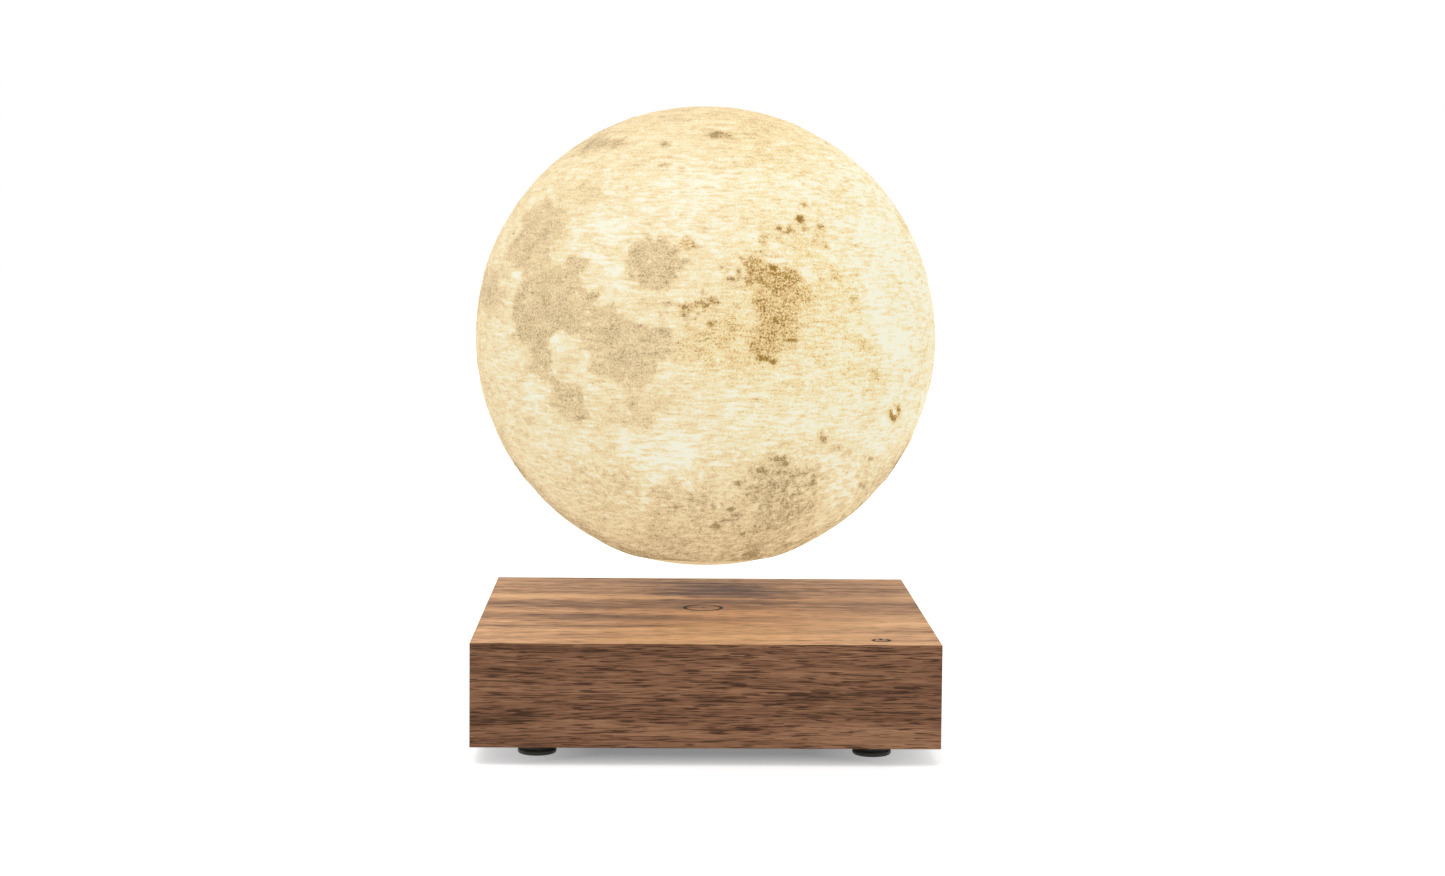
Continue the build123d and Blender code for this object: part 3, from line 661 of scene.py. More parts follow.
def inside_shore(shore, soft):
    """How far each point lies inside an outline on the photograph's side, 0 to 1."""
    within = np.zeros(len(outward), bool)
    nearest = np.full(len(outward), 1e9)
    corners = list(zip(shore[::2], shore[1::2]))
    for (x_1, y_1), (x_2, y_2) in zip(corners, corners[1:] + corners[:1]):
        crosses = (y_1 > shore_up) != (y_2 > shore_up)
        meets = x_1 + (shore_up - y_1) / ((y_2 - y_1) or 1e-9) * (x_2 - x_1)
        within ^= crosses & (shore_right < meets)
        run = (x_2 - x_1) ** 2 + (y_2 - y_1) ** 2
        share = np.clip(((shore_right - x_1) * (x_2 - x_1) + (shore_up - y_1) * (y_2 - y_1)) / run, 0, 1)
        gap = np.hypot(shore_right - x_1 - share * (x_2 - x_1), shore_up - y_1 - share * (y_2 - y_1))
        nearest = np.minimum(nearest, gap)
    share = np.clip(0.5 + np.where(within, nearest, -nearest) / (2.4 * soft), 0, 1)
    return share * share * (3 - 2 * share) * facing


def strongest(stains):
    """The strongest stain at each point."""
    return np.max(stains, axis=0)


# Dark plains: darkness, softness of the shore in millimetres, and the outline's
# corners, right and up in turn, read off the photograph with a ruler
grey_plains = (
    (0.31, 0.9, -61, 54, -57, 51, -53, 50, -54, 46, -53, 41, -57, 37, -59, 32, -59, 27, -61, 21, -67, 21,
     -71, 24, -75, 27, -78, 30, -75, 36, -72, 42, -70, 47, -66, 50),
    (0.39, 0.8, -60, 27, -55, 28, -50, 31, -45, 30, -48, 26, -48, 20, -45, 18, -40, 17, -42, 15, -45, 12,
     -46, 8, -47, 3, -50, 0, -56, 3, -59, 1, -60, -5, -60, -11, -64, -14, -68, -13, -66, -8, -69, -3,
     -73, 0, -75, 8, -75, 14, -71, 20, -68, 23),
    (0.35, 0.9, -46, 12, -40, 12, -36, 15, -33, 10, -30, 6, -27, 4, -20, 4, -13, 2, -12, -4, -14, -9,
     -19, -10, -20, -18, -24, -21, -29, -21, -34, -19, -37, -16, -46, -13, -43, -8, -47, -4, -49, 1,
     -48, 6),
    (0.35, 1.1, -60, -10, -59, -16, -53, -18, -49, -20, -47, -24, -45, -29, -45, -32, -49, -34, -53, -31,
     -57, -29, -60, -24, -58, -20, -64, -16, -68, -13, -68, -10),
    (0.23, 1.8, -30, -21, -21, -22, -12, -24, -9, -28, -18, -30, -22, -34, -29, -36, -33, -33, -40, -34,
     -42, -31, -34, -29, -29, -28),
    (0.33, 0.7, -28, 36, -21, 38, -15, 37, -10, 36, -9, 31, -5, 29, -9, 26, -11, 21, -15, 18, -19, 17,
     -24, 18, -29, 20, -31, 25, -30, 31),
    (0.43, 2, -13, 36, -10, 36, -9, 31, -5, 29, -9, 26, -11, 21, -16, 18, -20, 21, -17, 26, -14, 31),
    (0.26, 1.6, -84, 27, -80, 27, -77, 25, -79, 21, -77, 17, -79, 12, -81, 8, -85, 12, -88, 14, -87, 21),
    (0.18, 2.4, -60, 58, -54, 60, -47, 60, -41, 60, -40, 56, -43, 50, -50, 52, -56, 51),
    (0.3, 1.8, -50, 72, -45, 76, -38, 77, -32, 76, -31, 74, -35, 71, -42, 71, -48, 69),
    (0.4, 3, 17, -50, 27, -47, 33, -49, 38, -51, 45, -50, 48, -54, 44, -59, 46, -66, 44, -72, 40, -78,
     30, -83, 18, -86, 13, -84, 15, -78, 17, -72, 12, -65, 17, -59),
    (0.28, 4, -20, -59, 0, -58, 10, -62, 20, -66, 22, -90, 0, -92, -25, -90, -30, -80, -22, -70),
    (0.15, 3, -60, -54, -45, -52, -30, -53, -24, -58, -30, -63, -45, -63, -60, -62),
    (0.13, 4, -62, -62, -30, -68, -22, -80, -30, -90, -70, -70),
    (0.4, 1.6, 45, -36, 48, -38, 47, -41, 43, -42, 43, -40),
    (0.26, 2.4, 48, -41, 57, -43, 58, -46, 50, -46, 45, -44),
    (0.2, 3, 60, -46, 70, -44, 80, -42, 72, -60, 60, -68, 56, -58),
    (0.36, 1.6, 25, -47, 31, -46, 33, -50, 28, -50),
)
brown_plains = (
    (0.5, 1.2, 15, 30, 20, 31, 23, 30, 25, 27, 29, 26, 34, 26, 37, 24, 37, 19, 31, 18, 25, 18, 20, 20,
     16, 19, 15, 21, 18, 24, 16, 27),
    (0.42, 1.4, 23, 9, 28, 9, 33, 9, 31, 6, 34, 3, 31, 0, 35, -2, 29, -1, 23, 1, 20, 3, 23, 5),
    (0.36, 2.6, 15, 20, 25, 19, 36, 21, 40, 22, 43, 14, 43, 9, 36, 8, 36, 2, 35, -2, 30, -5, 28, -10,
     22, -10, 17, -7, 16, -2, 18, 3, 22, 8, 19, 13, 20, 17),
    (0.62, 0.7, 19, -7, 24, -8, 29, -10, 24, -10, 20, -9),
    (0.15, 4, -9, 3, 3, 9, 12, 12, 18, 3, 16, -6, 24, -12, 10, -13, -3, -14, -13, -10),
    (0.11, 4, 36, 38, 48, 36, 56, 28, 60, 20, 62, 5, 68, -5, 69, -17, 62, -20, 50, -20, 40, -8, 44, 8,
     44, 24, 34, 30),
    (0.42, 1.4, 58, -1, 62, -1, 66, -4, 66, -7, 60, -5),
    (0.4, 1.4, 67, -11, 69, -17, 65, -18, 62, -13),
    (0.33, 1.6, -10, 13, -6, 17, -3, 15, 1, 15, 6, 13, 1, 9, -5, 9, -11, 8),
    (0.36, 0.7, -11, 37, -7, 39, -4, 37, -1, 35, -4, 33, -8, 34),
    (0.44, 0.9, 20, 15, 23, 17, 25, 14, 22, 13),
    (0.3, 1.8, 57, 17, 60, 20, 60, 13, 57, 12),
    (0.34, 1.6, 47, 26, 51, 27, 53, 22, 48, 22),
    (0.34, 0.5, 74, 48, 75, 49, 79.5, 39.5, 79, 39, 76.6, 42),
)
# Bright fields: how much brighter, softness and corners
bright_fields = (
    (0.06, 5, -51, 40, -50, 47, -40, 50, -38, 58, -22, 60, -5, 68, 20, 66, 35, 61, 45, 57, 40, 50, 25, 45,
     10, 44, -5, 42, -20, 41, -30, 40, -42, 41),
    (0.24, 1.6, -49, 41, -42, 46, -32, 46, -31, 42),
    (0.26, 2.2, -47, 34, -44, 34, -38, 29, -32, 26, -31, 20, -36, 16, -38, 22, -41, 27),
    (0.22, 1.8, -19, -11, -13, -10, -10, -13, -14, -18, -18, -17),
    (0.22, 3, -33, -40, -20, -38, -5, -40, -3, -47, -15, -56, -22, -58, -26, -50, -33, -45),
    (0.2, 3, -68, -17, -62, -18, -60, -26, -61, -33, -68, -28, -70, -22),
    (0.22, 3, 64, 22, 68, 14, 72, 4, 78, 0, 79, -8, 72, -10, 68, 0, 62, 15),
    (0.12, 4, 8, -20, 20, -22, 38, -25, 45, -30, 45, -36, 30, -35, 20, -28, 8, -25),
    (0.2, 3, 28, 54, 42, 53, 44, 61, 30, 62),
    (0.14, 4, 66, 55, 72, 48, 84, 20, 80, 18, 68, 44),
    (0.1, 3, -84, 4, -78, 6, -76, -14, -84, -14),
)
browns = [inside_shore(shore, soft) for depth, soft, *shore in brown_plains]
dark_browns = [depth * brown for (depth, *_), brown in zip(brown_plains, browns)]
dark_greys = [depth * inside_shore(shore, soft) for depth, soft, *shore in grey_plains]
bright = strongest([lift * inside_shore(shore, soft) for lift, soft, *shore in bright_fields])
brown_share = strongest(browns)
far_field = rough(1.5, 5, 21) + 0.07 * fine + 0.16 * middling
far_plains = fade(far_field, 0.16, 0.26) * (1 - facing)
dark_plains = strongest([*dark_greys, *dark_browns, 0.36 * far_plains])

# Spots: right and up, half sizes across and up, and how much darker they are
spots = (
    (4.6, 77.5, 3.4, 1.4, 0.48), (10, 77.2, 2.4, 0.8, 0.34), (-15.6, 74.3, 1.8, 0.9, 0.62),
    (-16, 66, 2, 0.8, 0.48), (-8.8, 64.6, 1.7, 0.7, 0.54), (-30, 57.8, 0.6, 0.5, 0.44),
    (36.7, 45.2, 1.3, 1.3, 1.4), (39.2, 41.3, 1.4, 0.7, 0.66), (44.9, 42.1, 1.2, 0.9, 0.7),
    (28.8, 41.9, 1.1, 0.9, 0.7), (32.4, 41.2, 0.9, 0.9, 0.5), (22.8, 38.3, 1, 0.6, 0.54),
    (22.9, 36.5, 1.3, 0.6, 0.62), (38.6, 51.1, 1.8, 0.7, 0.56), (44.5, 48.6, 1.6, 0.5, 0.22),
    (47.8, 34.8, 0.9, 0.7, 0.64), (62.6, 33.5, 1.2, 0.8, 0.54), (6.8, 26.7, 1.1, 0.9, 0.6),
    (13, 25, 0.9, 1.2, 0.6), (10.8, 22.4, 2.3, 0.7, 0.66), (10, 27.6, 0.9, 0.6, 0.34),
    (27.1, 26.9, 1.6, 1.2, 0.95), (21.5, 32.7, 1, 0.6, 0.5), (2.4, 4.7, 1.5, 0.8, 0.52),
    (-9.8, -2.6, 1, 0.7, 0.44), (-14, 12.9, 2.4, 0.8, 0.5), (-2.6, 13.2, 1.2, 0.8, 0.42),
    (-7.6, 11.6, 1.3, 0.8, 0.4), (0.8, 11.4, 1.1, 0.7, 0.4), (4.3, 13.1, 1.3, 0.6, 0.3),
    (-4.9, 10.2, 0.8, 0.6, 0.34), (-3.8, 20.4, 1.1, 0.6, 0.32), (5.4, 20.1, 1.3, 0.6, 0.26),
    (11.4, 6.7, 0.9, 0.8, 0.34), (-8.8, 13.6, 0.9, 0.7, -0.4), (-8.3, 19.8, 1.3, 1, -0.3),
    (-2, 17.9, 1, 0.8, -0.26), (-7.6, 8.2, 1.5, 0.9, 0.56), (-2.2, 8.4, 1, 0.8, 0.48),
    (-3.6, 6.7, 0.9, 0.7, 0.44), (-0.8, 17.4, 1, 0.9, 0.44), (2.4, 14.4, 1.8, 0.7, 0.44),
    (-16.8, 8.1, 0.9, 0.6, 0.4), (46.6, -40.2, 1.3, 1.4, 0.56), (28.5, -47.4, 3, 0.9, 0.5),
    (31.2, -49.4, 1.6, 0.9, 0.5), (54, -43.6, 4.5, 1.8, 0.2), (38.2, -53.4, 1.4, 1, 0.4),
    (12.4, -69.6, 2.4, 0.8, 0.4), (18, -84.6, 3.6, 1, 0.34), (21.8, -8.8, 2.2, 0.8, 0.52),
    (26.8, -10.1, 2.4, 0.7, 0.56), (34, -1.6, 2.2, 0.7, 0.56), (64.4, -47.8, 1, 0.8, 0.8),
    (13.2, -57.2, 2, 1.3, 0.66), (10.2, -67.5, 1.5, 0.8, 0.66), (4.8, -73.8, 1.6, 1, 0.6),
    (7.8, -72, 0.9, 0.6, 0.5), (14.6, -77, 1.3, 0.7, 0.5), (22, -52, 2.2, 1.3, 0.34),
    (42.3, -57.2, 1.3, 1.1, 0.48), (61, -57.6, 1.4, 1, 0.64), (-47.5, -32, 1.8, 1, 0.34),
    (-40, -17.5, 1.2, 0.9, 0.3), (-25, 4, 2.2, 0.5, 0.24), (-67, -33, 1.4, 0.7, 0.24),
    (-72.5, -41, 1, 0.8, 0.22), (72.2, -29.9, 0.8, 1.7, 0.95), (73.1, -31.9, 0.9, 1.1, 1.05),
    (75.2, -28.8, 0.7, 1.6, 0.9), (74.2, -27.1, 1.2, 0.7, 0.7), (74.4, -31, 0.7, 0.9, 0.6),
    (73.8, -29, 0.8, 0.8, -0.6), (28, 7, 5.5, 2.6, 0.1), (-57.5, -1.2, 1.5, 1.4, -0.34),
    (-73.2, 23.6, 1.2, 1.2, -0.4), (-67, 23.2, 1, 1, -0.26), (-78.4, 21, 1, 1.6, -0.26),
    (-74, 2.6, 0.8, 0.8, -0.34), (-54.8, 27.2, 0.9, 0.7, -0.28), (-12.6, 4.1, 1.1, 1, -0.44),
    (-9.8, 39, 1.3, 1.2, -0.26), (-44.6, 32.6, 1.6, 1, -0.2), (6.4, -13.8, 1.2, 0.9, -0.2),
    (27.8, 29, 3, 1.2, -0.3),
)
marks = np.zeros(len(outward))
for right, up, half_right, half_up, strength in spots:
    across = (seen_right - right + 0.15 * (shore_right - seen_right)) / half_right
    over = (seen_up - up + 0.15 * (shore_up - seen_up)) / half_up
    marks += strength * np.exp(-((across**2 + over**2) ** 1.3) * 0.8) * facing

# Craters: those that the photograph shows, then a seeded scatter over the rest.
# Right and up on the ruler, radius, depth as a share of the radius, and how
# dark the rim is
seen_craters = (
    (30.5, 42.4, 2.6, 0.1, 0.34), (36.7, 45.4, 1.6, 0.3, 0.12), (39, 41.8, 1.6, 0.12, 0.2),
    (44.9, 42.2, 1.6, 0.14, 0.24), (22.6, 37.8, 1.9, 0.08, 0.28), (26, 35.2, 4.6, 0.04, 0.22),
    (10.6, 24.6, 3, 0.07, 0.3), (38.4, 49, 2.6, 0.07, 0.24), (-2.8, 36.6, 2.2, 0.06, 0.3),
    (7.2, 26.2, 1.5, 0.08, 0.26), (0.5, 14.8, 2.2, 0.06, 0.26), (50.5, 20.5, 2.4, 0.04, 0.18),
    (73.6, -29.9, 2.8, 0.16, 0.12), (-15.7, 74, 2, 0.12, 0.24), (-16, 66, 2, 0.1, 0.24),
    (14.6, -42.6, 2.6, 0.06, 0.24), (6, 77.4, 3.4, 0.1, 0.24),
)
crater_count = 760
scatter = np.random.default_rng(20)
crater_spots = []
for right, up, radius, steep, strength in seen_craters:
    ray = -toward * disc_scale + ruler_right * right + ruler_up * up
    ray /= np.linalg.norm(ray)
    nearest = -eye_distance * (toward @ ray)
    reach = nearest - sqrt(nearest**2 - eye_distance**2 + moon_radius**2)
    spot = toward * eye_distance + ray * reach
    crater_spots.append((spot / np.linalg.norm(spot), radius, steep, strength))
for _ in range(crater_count):
    spot = scatter.normal(size=3)
    spot /= np.linalg.norm(spot)
    radius = min(1.3 + 1.3 * scatter.pareto(2), 9)
    steep = 0.12 * scatter.uniform(0.6, 1.3)
    strength = scatter.uniform(0.1, 0.3)
    if spot @ toward > 0.2:
        radius = min(radius, 2.2)
        steep *= 0.5
        strength *= 0.35
    crater_spots.append((spot, radius, steep, strength))

crater_relief = np.zeros(len(outward))
crater_tone = np.zeros(len(outward))
for spot, radius, steep, strength in crater_spots:
    offset = (outward - spot) * (moon_radius / radius)
    away = np.linalg.norm(offset, axis=1)
    near = away < 2.2
    lean = scatter.normal(size=3)
    lean /= np.linalg.norm(lean)
    side = 0.55 + 0.45 * np.clip(offset[near] @ lean * 1.6, -1, 1)
    away = away[near] * (1 + 0.1 * fine[near])
    bowl = np.where(away < 1, away**2 - 1, 0) * steep * radius
    lip = np.exp(-(((away - 1) / 0.28) ** 2)) * steep * radius * 0.35
    crater_relief[near] += bowl + lip
    wall = np.exp(-(((away - 0.9) / 0.26) ** 2)) * side
    crater_tone[near] += strength * (1.3 * wall - 0.35 * np.exp(-((away / 0.5) ** 2)))

# The skin: uneven highlands, smooth sunken plains, and no relief near the rim
flat_plains = np.clip(dark_plains * 2, 0, 1)
highland = 0.26 * broad + 0.22 * middling + 0.12 * fine
relief = moon_skin - moon_radius + highland * (1 - 0.8 * flat_plains)
relief += crater_relief - 0.25 * flat_plains
steady = fade(outward[:, 2] * moon_radius - rim_drop, 1.5, 4)
skin = np.minimum(moon_radius + relief * steady - 0.03, moon_limit)
shape = outward * skin[:, None] * MM + np.array(moon_middle)
moon.data.vertices.foreach_set("co", shape.ravel())

# How dark and how brown the light comes through, at each point, with painted
# shade at the rim and towards the bottom, and painted light and shade by side
seen_reach = np.hypot(seen_right, seen_up)
# Painted shade: the rim as seen from the front is darker, with a thin dark line along its lower part.
painted_rim_shade = 0.1 * fade(seen_reach, 82, 6) * facing * np.clip(1 - seen_right / 40, 0.15, 1)
painted_rim_shade += 0.22 * fade(seen_reach, 85.6, 2) * fade(seen_up, -30, -15) * facing
# Painted shade towards the bottom of the moon, on the front and on the far side.
painted_low_shade = 0.16 * fade(seen_up, -45, -30) * facing + 0.1 * fade(outward[:, 2], -0.5, -1) * (1 - facing)
# Painted shade towards the left, top and bottom of the front, and painted light on its right.
painted_side_light_and_shade = 0.08 * fade(seen_right, -60, -25) - 0.17 * fade(seen_right, 30, 34)
painted_side_light_and_shade += 0.14 * fade(seen_up, 62, 22) + 0.05 * fade(seen_up, -50, -20)
blotched = 0.06 + (0.24 * fade(seen_up, -38, -15) + 0.12 * fade(seen_right, 24, 15)) * facing
tone = 0.3 + painted_side_light_and_shade * facing + mottle * blotched
tone += 0.07 * broad + 0.08 * middling + 0.07 * fine + 0.12 * (broad + middling) * (1 - facing)
tone += np.maximum(dark_plains, painted_low_shade) + painted_rim_shade + crater_tone + marks - bright
warm_side = fade(seen_right + 8 * broad, -5, 30) * np.clip((seen_up + 50) / 20, 0.1, 1) * facing
warm_side += (1 - facing) * 0.4
brown = np.clip((0.55 + 0.5 * marks) * warm_side + 0.6 * brown_share, 0, 1)
for name, values in (("tone", tone), ("brown", brown)):
    moon.data.attributes.new(name, "FLOAT", "POINT").data.foreach_set("value", values)
moon.data.update()

edit_whole()
rim_height = moon_middle.z + rim_drop * MM
bpy.ops.mesh.bisect(plane_co=(0, 0, rim_height), plane_no=(0, 0, -1), clear_outer=True)
bpy.ops.mesh.select_all(action="DESELECT")
work = bmesh.from_edit_mesh(moon.data)
for edge in work.edges:
    edge.select_set(edge.is_boundary)
bmesh.update_edit_mesh(moon.data)


def draw_out(rise, factor):
    """Draw the selected loop upwards, then in or out."""
    bpy.ops.mesh.extrude_region_move(TRANSFORM_OT_translate={"value": (0, 0, rise * MM)})
    bpy.ops.transform.resize(value=(factor, factor, 1), center_override=(0, 0, rim_height))


collar_top = rim_drop + seat_rise + collar_rise
draw_out(0, seat_radius / rim_radius)
draw_out(seat_rise, 1)
draw_out(0, opening_radius / seat_radius)
draw_out(collar_rise, 1)
wall_bands = 30
start_angle = asin(collar_top / wall_radius)
last_radius, last_height = opening_radius, collar_top
for band in range(wall_bands):
    angle = start_angle + (pi / 2 - 0.02 - start_angle) * band / (wall_bands - 1)
    next_radius, next_height = wall_radius * cos(angle), wall_radius * sin(angle)
    draw_out(next_height - last_height, next_radius / last_radius)
    last_radius, last_height = next_radius, next_height
bpy.ops.mesh.edge_face_add()
close_shape(moon, 0.002 * MM)
smooth(moon, 40)


def ramp(value, tints):
    """A colour read off a scale of evenly spaced tints."""
    made = wire("ValToRGB", {0: value})
    elements = made.color_ramp.elements
    while len(elements) < len(tints):
        elements.new(0.5)
    for index, tint in enumerate(tints):
        elements[index].position = index / (len(tints) - 1)
        elements[index].color = colour(*tint)
    return made.outputs[0]


grey_tints = (
    (252, 249, 227), (250, 237, 197), (248, 226, 178), (236, 209, 163), (214, 190, 148), (168, 143, 100),
)
brown_tints = (
    (252, 249, 224), (250, 238, 193), (250, 227, 171), (238, 206, 148), (213, 178, 118), (156, 122, 54),
)
glow_scale, given, put_out = group("moon_glow", {"Tone": 0, "Brown": 0}, ["Color", "Height"])
inside = on_object()
layers = clouds(stretched(inside, (160, 160, 950)), 1, 4, 0.62, Distortion=0.35)
grit = clouds(inside, 1450, 2, 0.7)
blotch = clouds(inside, 210, 5, 0.65)
flecks = wire("TexVoronoi", {"Vector": inside, "Scale": 150}).outputs["Distance"]
wires = {"Vector": stretched(inside, (1, 1, 1.6)), "Scale": 115}
pits = wire("TexVoronoi", wires).outputs["Distance"]
level = swing(blotch, maths("MULTIPLY_ADD", given["Tone"], -0.7, 0.92), given["Tone"])
level = swing(layers, maths("MULTIPLY_ADD", given["Tone"], -2.5, 2.35), level)
grain_depth = maths("ADD", given["Tone"], 0.75)
level = swing(grit, maths("MULTIPLY_ADD", given["Brown"], 0.7, grain_depth), level)
level = maths("SUBTRACT", level, spread(flecks, 0.06, 0.17, 0.32, 0))
level = maths("ADD", level, spread(pits, 0.03, 0.13, 0.2, 0))
wires = {
    "Color": blend(given["Brown"], ramp(level, grey_tints), ramp(level, brown_tints)),
    "Height": maths("MULTIPLY_ADD", layers, 0.6, times(grit, 0.5)),
}
connect(put_out, wires)


def lit_print(tone, brown):
    """Finish a material as cream plastic with the lamp's light coming through it."""
    glow = wire("Group", {"Tone": tone, "Brown": brown}, node_tree=glow_scale).outputs
    tint = blend(1, glow["Color"], (0.3, 0.3, 0.3, 1), "MULTIPLY")
    more = {"Specular IOR Level": 0.2, "Emission Color": glow["Color"], "Emission Strength": lamp_strength}
    surface(tint, 0.7, glow["Height"], 0.5, 0.25, more)


moon_print = new_material("moon_print")
notes = [wire("Attribute", {}, attribute_name=name).outputs["Fac"] for name in ("tone", "brown")]
lit_print(*notes)
moon.data.materials.append(moon_print)
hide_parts("moon_shell")
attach(moon, "moon")


# Float cup: a flatter printed cap that closes the moon from below, with the pot
# for the floating magnet standing on it. It is glued to the seat in the opening.
cup_lip = 29.8
lip_edge = 0.25
cap_start = 0.4
cap_steps = 21
cap_top, cap_low = -83.43, -88
cap_sphere = (cup_lip**2 + (cap_top - cap_low) ** 2) / (2 * (cap_top - cap_low))
pot_outer, pot_ledge, pot_bore = 22.5, 21.1, 20.3
pot_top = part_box("float_cup")[1].z / MM - moon_height
pot_step, pot_floor = -73.906, -84.506
cup_profile = []
for step in range(cap_steps + 1):
    reach = cap_start + (cup_lip - lip_edge - cap_start) * step / cap_steps
    cup_profile.append((reach, cap_low + cap_sphere - sqrt(cap_sphere**2 - reach**2)))
seat = rim_drop + seat_rise
cup_profile += [(cup_lip, cap_top + 0.2), (cup_lip, seat), (pot_outer, seat), (pot_outer, pot_top)]
cup_profile += [(pot_ledge, pot_top), (pot_ledge, pot_step), (pot_bore, pot_step)]
cup_profile += [(pot_bore, pot_floor), (cap_start, pot_floor)]
cup = turned("printed_cup", [(reach * MM, moon_middle.z + rise * MM) for reach, rise in cup_profile], 128)
cup_print = new_material("cup_print")
cup_cloud = clouds(on_object(), 45, 4)
lit_print(spread(cup_cloud, 0.3, 0.7, 0.4, 0.62), 0.2)
cup.data.materials.append(cup_print)
smooth(cup, 40)
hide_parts("float_cup")
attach(cup, "moon")


# Bottom plate: laser-cut steel with a black powder coat, let into the box.
def dress(finish, *nodes):
    """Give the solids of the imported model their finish."""
    for node in nodes:
        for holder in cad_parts[node].material_slots:
            holder.material = finish


dress(dull("plate_black", (40, 40, 42), 0.55, 1700, 0.3, depth=0.04), "bottom_plate")


# Plate screws: zinc-plated pan heads with a cross recess, driven up through the
# plate's counterbores into the corner blocks.
screw_reach = 72.5 * MM
screw_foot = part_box("plate_screws")[0].z / MM
thread_turns, thread_pitch = 11, 0.85
recess_long, recess_wide, recess_deep = 3.2 * MM, 0.62 * MM, 2 * MM
screw_profile = [(0.3, 0.02), (1.4, 0.06), (2.3, 0.2), (2.8, 0.5), (3, 0.9), (3, 1.7), (1.5, 1.7), (1.5, 2.4)]
for turn in range(thread_turns):
    rise = turn * thread_pitch
    screw_profile += [(1.5, 2.6 + rise), (1.12, 2.95 + rise), (1.12, 3.1 + rise)]
screw_profile += [(1.3, 12), (0.3, 13)]
screw_points = [(reach * MM, (screw_foot + rise) * MM) for reach, rise in screw_profile]
first_screw = turned("plate_screw_1", screw_points, 40, (-screw_reach, -screw_reach))
for length, width in ((recess_long, recess_wide), (recess_wide, recess_long)):
    blade = start_cube("blade", (length, width, recess_deep), (-screw_reach, -screw_reach, screw_foot * MM))
    carve(first_screw, close_shape(blade))
steel = dull("screw_steel", (186, 186, 182), 0.32, 2600, 0.15, depth=0.01, metallic=1)
first_screw.data.materials.clear()
first_screw.data.materials.append(steel)
for screw in with_copies(first_screw, "plate_screw", screw_reach, ((1, 0), (0, 1), (1, 1))):
    smooth(screw, 40)
    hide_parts("plate_screws")
    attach(screw, "base")
dress(steel, "board_screws")


# Corner blocks: beech, sawn and planed, glued into the box's corners.
beech_tones = {"Pale": colour(236, 204, 160), "Middle": colour(220, 184, 138), "Dark": colour(190, 150, 106)}
beech = walnut("beech_blocks", (2.1, 0.05, 0.03), tones=beech_tones, waver=0.004, streaks=0.35)
for side in ("front_left", "front_right", "back_left", "back_right"):
    dress(beech, "corner_block_" + side)


# Circuit boards: glass-cloth boards under green lacquer, over the copper tracks.
board_green = new_material("circuit_board")
inside = on_object()
wires = {"Vector": inside, "Scale": 240, "Randomness": 0.75}
tracks = wire("TexVoronoi", wires, feature="DISTANCE_TO_EDGE").outputs["Distance"]
cloth = clouds(inside, 2200, 2)
on_track = spread(tracks, 0.09, 0.05)
green = blend(cloth, colour(18, 66, 40), colour(30, 88, 54))
lit_green = blend(cloth, colour(48, 120, 72), colour(66, 138, 84))
lacquer = spread(cloth, 0.3, 0.7, 0.28, 0.42)
surface(blend(on_track, green, lit_green), lacquer, on_track, 0.5, 0.04, {})
dress(board_green, "control_board", "touch_board", "receiver_board")


# Parts on the boards: moulded chips, a finned aluminium sink, sleeved
# capacitors, white lead sockets and turned brass standoffs.
chip = dull("chip_black", (36, 36, 38), 0.5, 2400, 0.35)
dress(chip, "hall_sensors", "driver_chips", "processor", "receiver_chips")
dress(dull("sink_aluminium", (196, 198, 200), 0.38, 1500, 0.12, metallic=1), "heat_sink")
dress(dull("capacitor_sleeve", (38, 46, 92), 0.35, 800, 0.2), "capacitors")
dress(dull("socket_white", (232, 230, 220), 0.45, 1200, 0.1), "lead_sockets")
dress(dull("standoff_brass", (206, 170, 98), 0.3, 2000, 0.15, metallic=1), "standoffs")


# Lifting magnets: a black ferrite ring on a steel yoke, and four coils of
# enamelled copper on white bobbins with iron cores.
coils = (1, 2, 3, 4)
dress(dull("ring_magnet_black", (50, 50, 54), 0.6, 650, 0.4, depth=0.06), "ring_magnet")
dress(dull("yoke_steel", (172, 174, 174), 0.4, 1300, 0.2, metallic=1), "yoke_plate")
iron = dull("core_iron", (104, 102, 100), 0.45, 1100, 0.3, metallic=1)
dress(iron, *[f"coil_core_{number}" for number in coils])
bobbin = dull("bobbin_plastic", (226, 222, 208), 0.4, 900, 0.12)
dress(bobbin, "hall_holder", *[f"coil_bobbin_{number}" for number in coils])
dress(dull("tray_plastic", (214, 212, 204), 0.5, 1000, 0.15), "coil_tray")

wound_wire, given, put_out = group("wound_wire", {"Centre": None, "Pitch": 0.0006}, ["Color", "Height"])
inside = on_object()
from_axis = vectors("SUBTRACT", inside, given["Centre"])[0]
rise = wire("SeparateXYZ", {0: from_axis}).outputs["Z"]
radius = vectors("LENGTH", stretched(from_axis, (1, 1, 0)))["Value"]
waves = []
for measure in (rise, radius):
    turns = maths("DIVIDE", measure, given["Pitch"])
    waves.append(maths("ABSOLUTE", maths("SINE", times(turns, pi))))
crest = times(*waves)
copper = blend(clouds(inside, 160, 3), colour(176, 92, 52), colour(214, 128, 80))
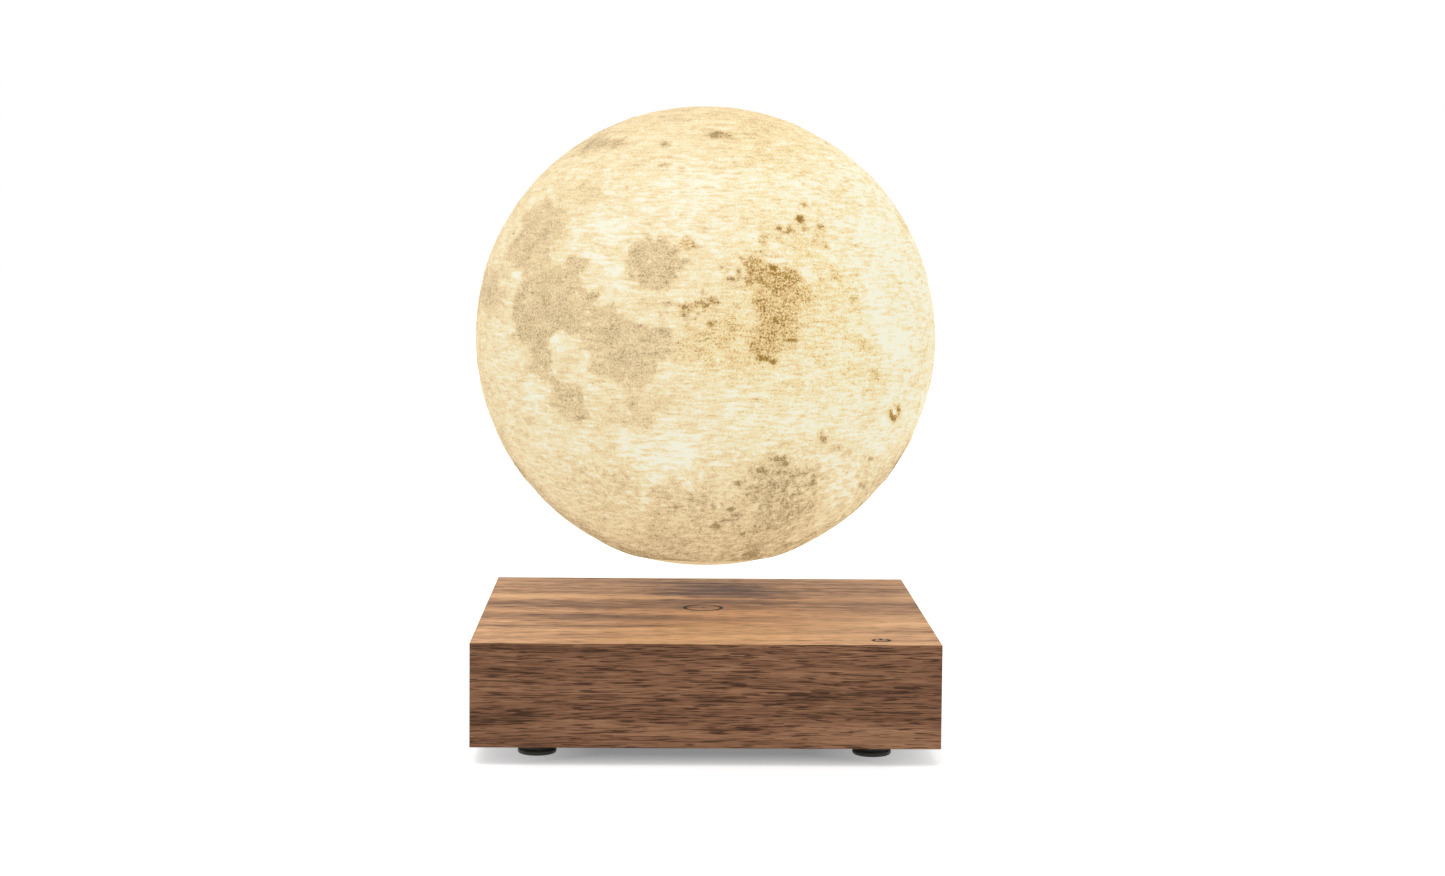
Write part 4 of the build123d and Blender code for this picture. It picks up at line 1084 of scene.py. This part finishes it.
# Painted shade in the grooves between the turns of wire.
shade_between_turns = blend(1, copper, (0.25, 0.22, 0.2, 1), "MULTIPLY")
connect(put_out, {"Color": blend(spread(crest, 0.1, 0.6), shade_between_turns, copper), "Height": crest})

coil_reach = 23.15 * MM
coil_places = (
    ("coil_winding_1", coil_reach, 0), ("coil_winding_2", 0, coil_reach), ("coil_winding_3", -coil_reach, 0),
    ("coil_winding_4", 0, -coil_reach), ("transmit_coil", 0, 0), ("receiver_coil", 0, 0),
)
for node, x, y in coil_places:
    made = new_material("copper_" + node)
    wound = wire("Group", {"Centre": (x, y, 0)}, node_tree=wound_wire).outputs
    surface(wound["Color"], 0.3, wound["Height"], 0.8, 0.2, {"Metallic": 0.85, "Coat Weight": 0.4})
    dress(made, node)


# Power inlet: a black barrel socket on the board behind the back board's hole.
dress(dull("inlet_black", (30, 30, 32), 0.4, 1500, 0.2), "inlet_housing")
dress(dull("pin_nickel", (214, 208, 196), 0.25, 2200, 0.1, metallic=1), "inlet_pin")


# Touch switch: copper foil under the wood, on its own small board, and the flat
# white leads of the switch, of the transmitting coil and of the lamp.
dress(dull("foil_copper", (206, 126, 84), 0.34, 900, 0.2, metallic=1), "touch_pad")
dress(dull("lead_white", (236, 234, 226), 0.5, 1400, 0.1), "touch_lead", "transmit_lead", "lamp_lead")


# Lamp in the moon: warm diodes on a round aluminium board, held on a post over
# the pot's lid, under a frosted cap. The floating magnet is nickel-plated.
dress(dull("magnet_nickel", (206, 204, 198), 0.24, 1800, 0.1, metallic=1), "float_magnet")
dress(dull("cup_plastic", (238, 232, 214), 0.5, 900, 0.12), "float_lid")
post = dull("lamp_aluminium", (202, 204, 206), 0.36, 1600, 0.12, metallic=1)
dress(post, "lamp_post", "led_board")
for name, tint, strength, node in (
    ("led_phosphor", colour(255, 214, 120), 1.5, "leds"),
    ("frosted_plastic", colour(250, 240, 214), 0.6, "led_diffuser"),
):
    lit = new_material(name)
    frost = clouds(on_object(), 1200, 3)
    frosted = blend(frost, faded(tint, 0.8), tint)
    more = {"Emission Color": frosted, "Emission Strength": strength}
    surface(frosted, spread(frost, 0.3, 0.7, 0.45, 0.6), frost, 0.4, 0.05, more)
    dress(lit, node)
